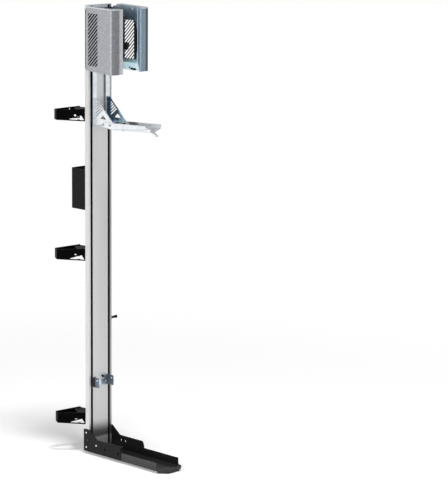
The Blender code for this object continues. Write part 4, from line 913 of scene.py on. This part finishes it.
def make_shell(settings, side, name, finish, low_front, facet):
    """Folded outer cover of one half of the head, with slanted louvres and a hemmed upper edge."""
    bend, tuck, chamfer = 0.0035, 0.012, 0.016
    outer = side * (HEAD_HALF - SHEET / 2)
    lip = side * (LIP_V + SHEET / 2)
    back, front = HEAD_BACK + SHEET / 2, HEAD_FRONT - SHEET / 2
    line = [(side * 0.070, back), (outer, back), (outer, front - facet),
            (outer - side * chamfer, front), (lip, front), (lip, front - tuck)]
    top = shell_level(HEAD_TOP + 0.0045, HEAD_TOP)
    low = shell_level(HEAD_LOW + 0.003, low_front)
    bm = bmesh.new()
    prism(bm, sheet_outline(line, SHEET, bend), low, top)
    shell = new_piece(f"shell_{name}", bm, finish, "carriage", [f"head_shell_{name}"])
    cut(shell, louvre_cutter(settings, side))
    # The hem's paler silver is a painted highlight along the shell's upper edge.
    hem = [(side * 0.072, back), *line[1:4], (side * (LIP_V + 0.001), front)]
    bm = bmesh.new()
    prism(bm, sheet_outline(hem, SHEET + 0.0010, bend),
          lambda v, u: top(v, u) - settings.hem_height, lambda v, u: top(v, u) + 0.0004)
    new_piece(f"shell_hem_{name}", bm, "silver_hem", "carriage")


def make_hook_saddle():
    """Rubber saddle that fills the inside of the hook's bend, for the rim to rest on."""
    half = 0.0078
    outline = [(0.118, 1.7300), (0.1660, 1.7300), (0.1640, 1.7580), (0.1520, 1.7620),
               (0.1360, 1.7470), (0.118, 1.7470)]
    bm = bmesh.new()
    slab(bm, rounded(outline, 0.005), -half, half)
    new_piece("hook_saddle", bm, "rubber", "carriage", bevel=0.0025)


def make_front_trim():
    """Coated lip that folds over the left inner wall's rolled front edge; its paler coat is a
    painted highlight.
    """
    low, top = HEAD_LOW - 0.0065, HEAD_TOP - 0.001
    line = [(-LIP_V - 0.0004, HEAD_FRONT - 0.0012), (-0.0420, HEAD_FRONT - 0.0002),
            (-0.0400, HEAD_FRONT - 0.0030)]
    bm = bmesh.new()
    prism(bm, sheet_outline(line, 0.0010, 0.0012), low, top)
    new_piece("front_lip_left", bm, "silver_hem", "carriage")


# Dark fittings low on the right inner wall: (u, z, half width, half height)
WALL_FITTINGS = (("wall_rivet", [(0.1226, 1.6511, 0.0024, 0.0024)]),
                 ("wall_latch", [(0.1345, 1.6462, 0.0052, 0.0034),
                                 (0.1500, 1.6448, 0.0085, 0.0040)]))
FLARE_V, FLARE_HIGH, FLARE_OUT = 0.0489, 0.033, 0.0060      # the flared foot of that wall


def make_wall_details():
    """Fittings on the right inner wall: a ringed hole above, a rivet and a latch slot below."""
    bore, ring, crest = 0.0018, 0.0058, 0.0064
    bm = bmesh.new()
    turned(bm, [(0, bore), (0, ring), (0.0007, crest), (0.0014, ring), (0.0014, bore)],
           place(*GROMMET), (-1, 0, 0))
    new_piece("wall_grommet", bm, "near_zinc", "carriage")
    for name, spots in WALL_FITTINGS:
        bm = bmesh.new()
        for u, z, wide, high in spots:
            v = FLARE_V + (HEAD_LOW + FLARE_HIGH - z) / FLARE_HIGH * FLARE_OUT
            outline = rounded([(u - wide, z - high), (u + wide, z - high), (u + wide, z + high),
                               (u - wide, z + high)], 0.0016, 3)
            slab(bm, outline, v - 0.0030, v - 0.0006)
        new_piece(name, bm, "slot_black", "carriage")


def make_pad(settings, side, name):
    """Moulded frame round the window: two broad posts, joined by thin bars, with a bowed front."""
    inset, bar, slope = 0.0004, 0.0016, 0.008
    back, front = WINDOW_BACK - 0.0065, WINDOW_FRONT + 0.008
    low, top = WINDOW_LOW - bar, WINDOW_TOP + bar
    bow, bow_low, bow_top = front + 0.010, WINDOW_LOW + 0.0355, WINDOW_TOP - 0.039
    outer = [(back, low), (back, top), (front, top - 0.004), (front, bow_top + slope),
             (bow, bow_top), (bow, bow_low), (front, bow_low - slope), (front, low)]
    hole = [(WINDOW_BACK + inset, WINDOW_LOW + inset), (WINDOW_BACK + inset, WINDOW_TOP - inset),
            (WINDOW_FRONT - inset, WINDOW_TOP - inset), (WINDOW_FRONT - inset, WINDOW_LOW + inset)]
    face = side * (INNER_V - 0.0003)
    bm = bmesh.new()
    slab(bm, rounded(outer, 0.006), *sorted((face, face - side * settings.pad_thickness)))
    pad = new_piece(f"pad_{name}", bm, "rubber", "carriage", [f"rim_pad_{name}"], bevel=0.0008)
    cutter = bmesh.new()
    reach = sorted((face + side * 0.002, face - side * (settings.pad_thickness + 0.003)))
    slab(cutter, rounded(hole, 0.009, 5), *reach)
    cut(pad, cutter)


class BIKEMOUNT_OT_head(bpy.types.Operator):
    """Dress the louvred head, its inner walls, pads and hook"""

    bl_idname = "bikemount.head"
    bl_label = "Head"

    def execute(self, context):
        dress("silver_coat", "head_shell_left")
        dress("silver_cool", "head_shell_right")
        settings = context.scene.bikemount_head
        make_shell(settings, -1, "left", "silver_coat", HEAD_LOW - 0.007, 0.0065)
        make_shell(settings, 1, "right", "silver_cool", HEAD_LOW - 0.002, 0.0030)
        dress("wall_zinc", *sides("inner_wall_{}"))
        make_hook_saddle()
        make_front_trim()
        make_wall_details()
        make_pad(settings, -1, "left")
        make_pad(settings, 1, "right")
        dress("rubber", *sides("rim_pad_{}"), "hook_sleeve")
        dress("steel", "wheel_hook")
        return {"FINISHED"}


# Arm bracket, from the column's face and the floor
GUSSET_V = 0.0418
GUSSET_BACK, FLANGE_FRONT, GUSSET_TIP = 0.0083, 0.0101, 0.1175
GUSSET_LOW, GUSSET_TOP = 1.407, 1.521
GUSSET_EDGE = ((0.0163, GUSSET_TOP), (GUSSET_TIP, 1.4262))      # the long edge, top to tip
# Height of each slot's low back corner, and how far ahead the slot ends
GUSSET_SLOTS = ((1.4895, 0.0345), (1.4790, 0.0430), (1.4670, 0.0510), (1.4545, 0.0575),
                (1.4415, 0.0600))
SLOT_BACK, SLOT_SLOPE, SLOT_HIGH_BACK, SLOT_HIGH_FRONT = 0.0190, 0.78, 0.0066, 0.0078
GUSSET_TRIANGLE = [(0.0450, 1.4372), (0.0632, 1.4545), (0.0825, 1.4372)]
BOLT_LINE = ((0.067, 1.415), (0.108, 1.4165375))
BAR_HALF, BAR_HIGH = 0.030, 0.018


def round_hole(centre, radius, steps=20):
    u, z = centre
    turns = [math.tau * k / steps for k in range(steps)]
    return [(u + radius * math.cos(turn), z + radius * math.sin(turn)) for turn in turns]


def gusset_cutter(settings, reach):
    """The gusset's slots, its triangle and its bolt holes."""
    cutter = bmesh.new()
    for low, end in GUSSET_SLOTS:
        front_low = low + (end - SLOT_BACK) * SLOT_SLOPE
        slot = [(SLOT_BACK, low), (end, front_low), (end, front_low + SLOT_HIGH_FRONT),
                (SLOT_BACK, low + SLOT_HIGH_BACK)]
        slab(cutter, rounded(slot, 0.0014, 2), *reach)
    slab(cutter, rounded(GUSSET_TRIANGLE, 0.0015, 2), *reach)
    for spot in BOLT_LINE:
        slab(cutter, round_hole(spot, settings.bolt_hole), *reach)
    return cutter


def flange_outline(top):
    """Section of the sheet that lies against the column, from the gussets' foot up."""
    return [(GUSSET_BACK, GUSSET_LOW), (FLANGE_FRONT, GUSSET_LOW), (FLANGE_FRONT, top),
            (GUSSET_BACK, top)]


def make_gusset(settings, side, name, finish, edge_finish):
    """Pierced side of the arm bracket, with a lip along its long edge and a flange at its back."""
    outline = [(GUSSET_BACK, GUSSET_LOW), (GUSSET_BACK, GUSSET_TOP), *GUSSET_EDGE,
               (GUSSET_TIP, 1.4202), (0.1075, GUSSET_LOW), (0.05975, GUSSET_LOW), (0.0555, 1.4155),
               (0.0119, GUSSET_LOW)]
    face = side * GUSSET_V
    thick, lip_wide = settings.gusset_thickness, 0.005
    bm = bmesh.new()
    slab(bm, outline, *sorted((face, face - side * thick)))
    replaced = ["arm_bracket"] if side < 0 else []
    gusset = new_piece(f"gusset_{name}", bm, finish, "carriage", replaced)
    cut(gusset, gusset_cutter(settings, sorted((face + side * 0.003, face - side * 0.006))))
    upper, tip = (Vector(end) for end in GUSSET_EDGE)
    along = (tip - upper).normalized()
    inward = Vector((along.y, -along.x)) * thick
    lip = [tuple(upper), tuple(tip), tuple(tip + inward), tuple(upper + inward)]
    bm = bmesh.new()
    slab(bm, lip, *sorted((face - side * thick, face - side * (thick + lip_wide))))
    new_piece(f"gusset_lip_{name}", bm, edge_finish, "carriage")
    bm = bmesh.new()
    slab(bm, flange_outline(GUSSET_TOP - 0.005), *sorted((face - side * thick, side * BAR_HALF)))
    new_piece(f"gusset_flange_{name}", bm, finish, "carriage")


def make_bracket_bar():
    """Bar between the gussets, against the column, in zinc darkened by painted shade."""
    bm = bmesh.new()
    slab(bm, flange_outline(GUSSET_LOW + BAR_HIGH), -BAR_HALF, BAR_HALF)
    new_piece("bracket_bar", bm, "far_zinc", "carriage")


def make_arm_nub():
    """Small rubber stop under the arm."""
    bm = bmesh.new()
    profile = [(0, 0.0035), (0.0042, 0.0042), (0.0052, 0.0034)]
    turned(bm, profile, place(*ARM_STOP), (0, 0, -1), 16)
    new_piece("arm_stop", bm, "rubber", "carriage")


class BIKEMOUNT_OT_arm(bpy.types.Operator):
    """Dress the support arm, its bracket, bolts and spacers"""

    bl_idname = "bikemount.arm"
    bl_label = "Support arm"

    def execute(self, context):
        dress("arm_zinc", "support_arm")
        settings = context.scene.bikemount_arm
        make_gusset(settings, -1, "left", "near_zinc", "near_zinc")
        # The far gusset and its lip are dressed in zinc darkened by painted shade.
        make_gusset(settings, 1, "right", "far_zinc", "far_edge")
        make_bracket_bar()
        make_arm_nub()
        for number in (1, 2):
            dress("bolt_steel", f"arm_bolt_{number}")
            dress("zinc", *sides("arm_spacer_{}_" + str(number)))
        return {"FINISHED"}


# Stage

def seen_by_eye(paint):
    """1 for a ray from the camera, or one seen in a gloss or through a glass, else 0."""
    seen = 0.0
    for name in ("Is Camera Ray", "Is Glossy Ray", "Is Transmission Ray"):
        ray = paint.node("ShaderNodeLightPath", output=name)
        seen = paint.node("ShaderNodeMath", {"operation": "MAXIMUM"}, {0: seen, 1: ray})
    return seen


class Sky(Finish):
    """The world's nodes, added in the same way as a material's."""

    def __init__(self, name):
        self.world = bpy.data.worlds.new(name)
        self.world.use_nodes = True
        tree = self.world.node_tree
        self.nodes = tree.nodes
        self.links = tree.links
        self.shader = tree.nodes["Background"]
        self.spot = self.node("ShaderNodeTexCoord", output="Generated")


def make_world(settings):
    """Plain white to the eye. Its light is even, and stronger from the left."""
    sky = Sky("pale_studio")
    left = sky.along(0).smooth(-0.4, -1.0)
    level = settings.sky_level + left * settings.side_level
    seen = seen_by_eye(sky)
    sky.set("Strength", level * (1 - seen) + seen)
    sky.set("Color", (1, 1, 1))
    bpy.context.scene.world = sky.world


def make_floor(settings):
    """A wide disc that is plain white to the eye, apart from the object's own soft shadow."""
    bm = bmesh.new()
    bmesh.ops.create_circle(bm, cap_ends=True, segments=96, radius=FLOOR_RADIUS)
    mesh = bpy.data.meshes.new("floor")
    bm.to_mesh(mesh)
    bm.free()
    floor = bpy.data.objects.new("floor", mesh)
    floor.location = (0, 0, FLOOR_Z - 0.0005)
    bpy.context.collection.objects.link(floor)
    pale = Finish("pale_floor", (FLOOR_TONE,) * 3, 0.9, Specular_IOR_Level=0.0)
    far = pale.node("ShaderNodeVectorMath", {"operation": "LENGTH"}, {0: pale.spot}, "Value")
    raised = 1.0 - FLOOR_TONE * settings.floor_level
    glow = pale.node("ShaderNodeEmission", inputs={"Color": (1, 1, 1), "Strength": 1.0})
    lift = pale.node("ShaderNodeEmission", inputs={"Color": (1, 1, 1), "Strength": raised})
    seen = seen_by_eye(pale)
    lit = Socket(pale, pale.shader.outputs[0])
    shaded = pale.node("ShaderNodeAddShader", inputs={0: lit, 1: lift})
    eye = pale.node("ShaderNodeMixShader", inputs={0: far.smooth(1.2, 3.0), 1: shaded, 2: glow})
    mixed = pale.node("ShaderNodeMixShader", inputs={0: seen, 1: lit, 2: eye})
    pale.links.new(mixed.output, pale.nodes["Material Output"].inputs["Surface"])
    mesh.materials.append(pale.material)


def make_lamp(settings):
    """Soft lamp, high in front of the column."""
    data = bpy.data.lights.new("soft_lamp", "AREA")
    data.energy = settings.lamp_power
    data.shape = "RECTANGLE"
    data.size = data.size_y = LAMP_SIZE
    lamp = bpy.data.objects.new("soft_lamp", data)
    lamp.location = LAMP_PLACE
    lamp.rotation_euler = (LAMP_TARGET - LAMP_PLACE).to_track_quat("-Z", "Y").to_euler()
    lamp.visible_camera = False
    bpy.context.collection.objects.link(lamp)


def make_camera(settings):
    """Camera at the photograph's viewing angle."""
    data = bpy.data.cameras.new("camera")
    data.lens = settings.lens
    data.sensor_width = 36.0
    data.clip_end = 100.0
    camera = bpy.data.objects.new("camera", data)
    turn = (Matrix.Rotation(math.radians(CAMERA_YAW), 4, "Z")
            @ Matrix.Rotation(math.radians(90 - CAMERA_DOWN), 4, "X")
            @ Matrix.Rotation(math.radians(CAMERA_ROLL), 4, "Z"))
    camera.matrix_world = Matrix.Translation(CAMERA_PLACE) @ turn
    bpy.context.collection.objects.link(camera)
    bpy.context.scene.camera = camera


class BIKEMOUNT_OT_stage(bpy.types.Operator):
    """Make the pale floor, the soft light and the camera"""

    bl_idname = "bikemount.stage"
    bl_label = "Stage"

    def execute(self, context):
        settings = context.scene.bikemount_stage
        make_world(settings)
        make_floor(settings)
        make_lamp(settings)
        make_camera(settings)
        context.scene.view_settings.view_transform = "Standard"
        return {"FINISHED"}


STEPS = ("finishes", "wall_brackets", "column", "base", "lift_spring", "guide_and_lock", "carriage",
         "head", "arm", "stage")


class BIKEMOUNT_PT_panel(bpy.types.Panel):
    """Lists the steps that dress the model"""

    bl_idname = "BIKEMOUNT_PT_panel"
    bl_label = "Bike Mount"
    bl_space_type = "VIEW_3D"
    bl_region_type = "UI"
    bl_category = "Bike Mount"

    def draw(self, context):
        for step in STEPS:
            self.layout.operator(f"bikemount.{step}")
        for group in GROUPS:
            box = self.layout.box()
            settings = getattr(context.scene, "bikemount_" + group)
            for name in GROUPS[group].__annotations__:
                box.prop(settings, name)


GROUPS = {"finishes": FinishSettings, "head": HeadSettings, "arm": ArmSettings,
          "stage": StageSettings}
CLASSES = (*GROUPS.values(), BIKEMOUNT_OT_finishes, BIKEMOUNT_OT_wall_brackets, BIKEMOUNT_OT_column,
           BIKEMOUNT_OT_base, BIKEMOUNT_OT_lift_spring, BIKEMOUNT_OT_guide_and_lock,
           BIKEMOUNT_OT_carriage, BIKEMOUNT_OT_head, BIKEMOUNT_OT_arm, BIKEMOUNT_OT_stage,
           BIKEMOUNT_PT_panel)


def register():
    for item in CLASSES:
        bpy.utils.register_class(item)
    for name, group in GROUPS.items():
        setattr(bpy.types.Scene, "bikemount_" + name, bpy.props.PointerProperty(type=group))


def unregister():
    for name in GROUPS:
        delattr(bpy.types.Scene, "bikemount_" + name)
    for item in reversed(CLASSES):
        bpy.utils.unregister_class(item)


def main():
    register()
    for step in STEPS:
        getattr(bpy.ops.bikemount, step)()


if __name__ == "__main__":
    main()
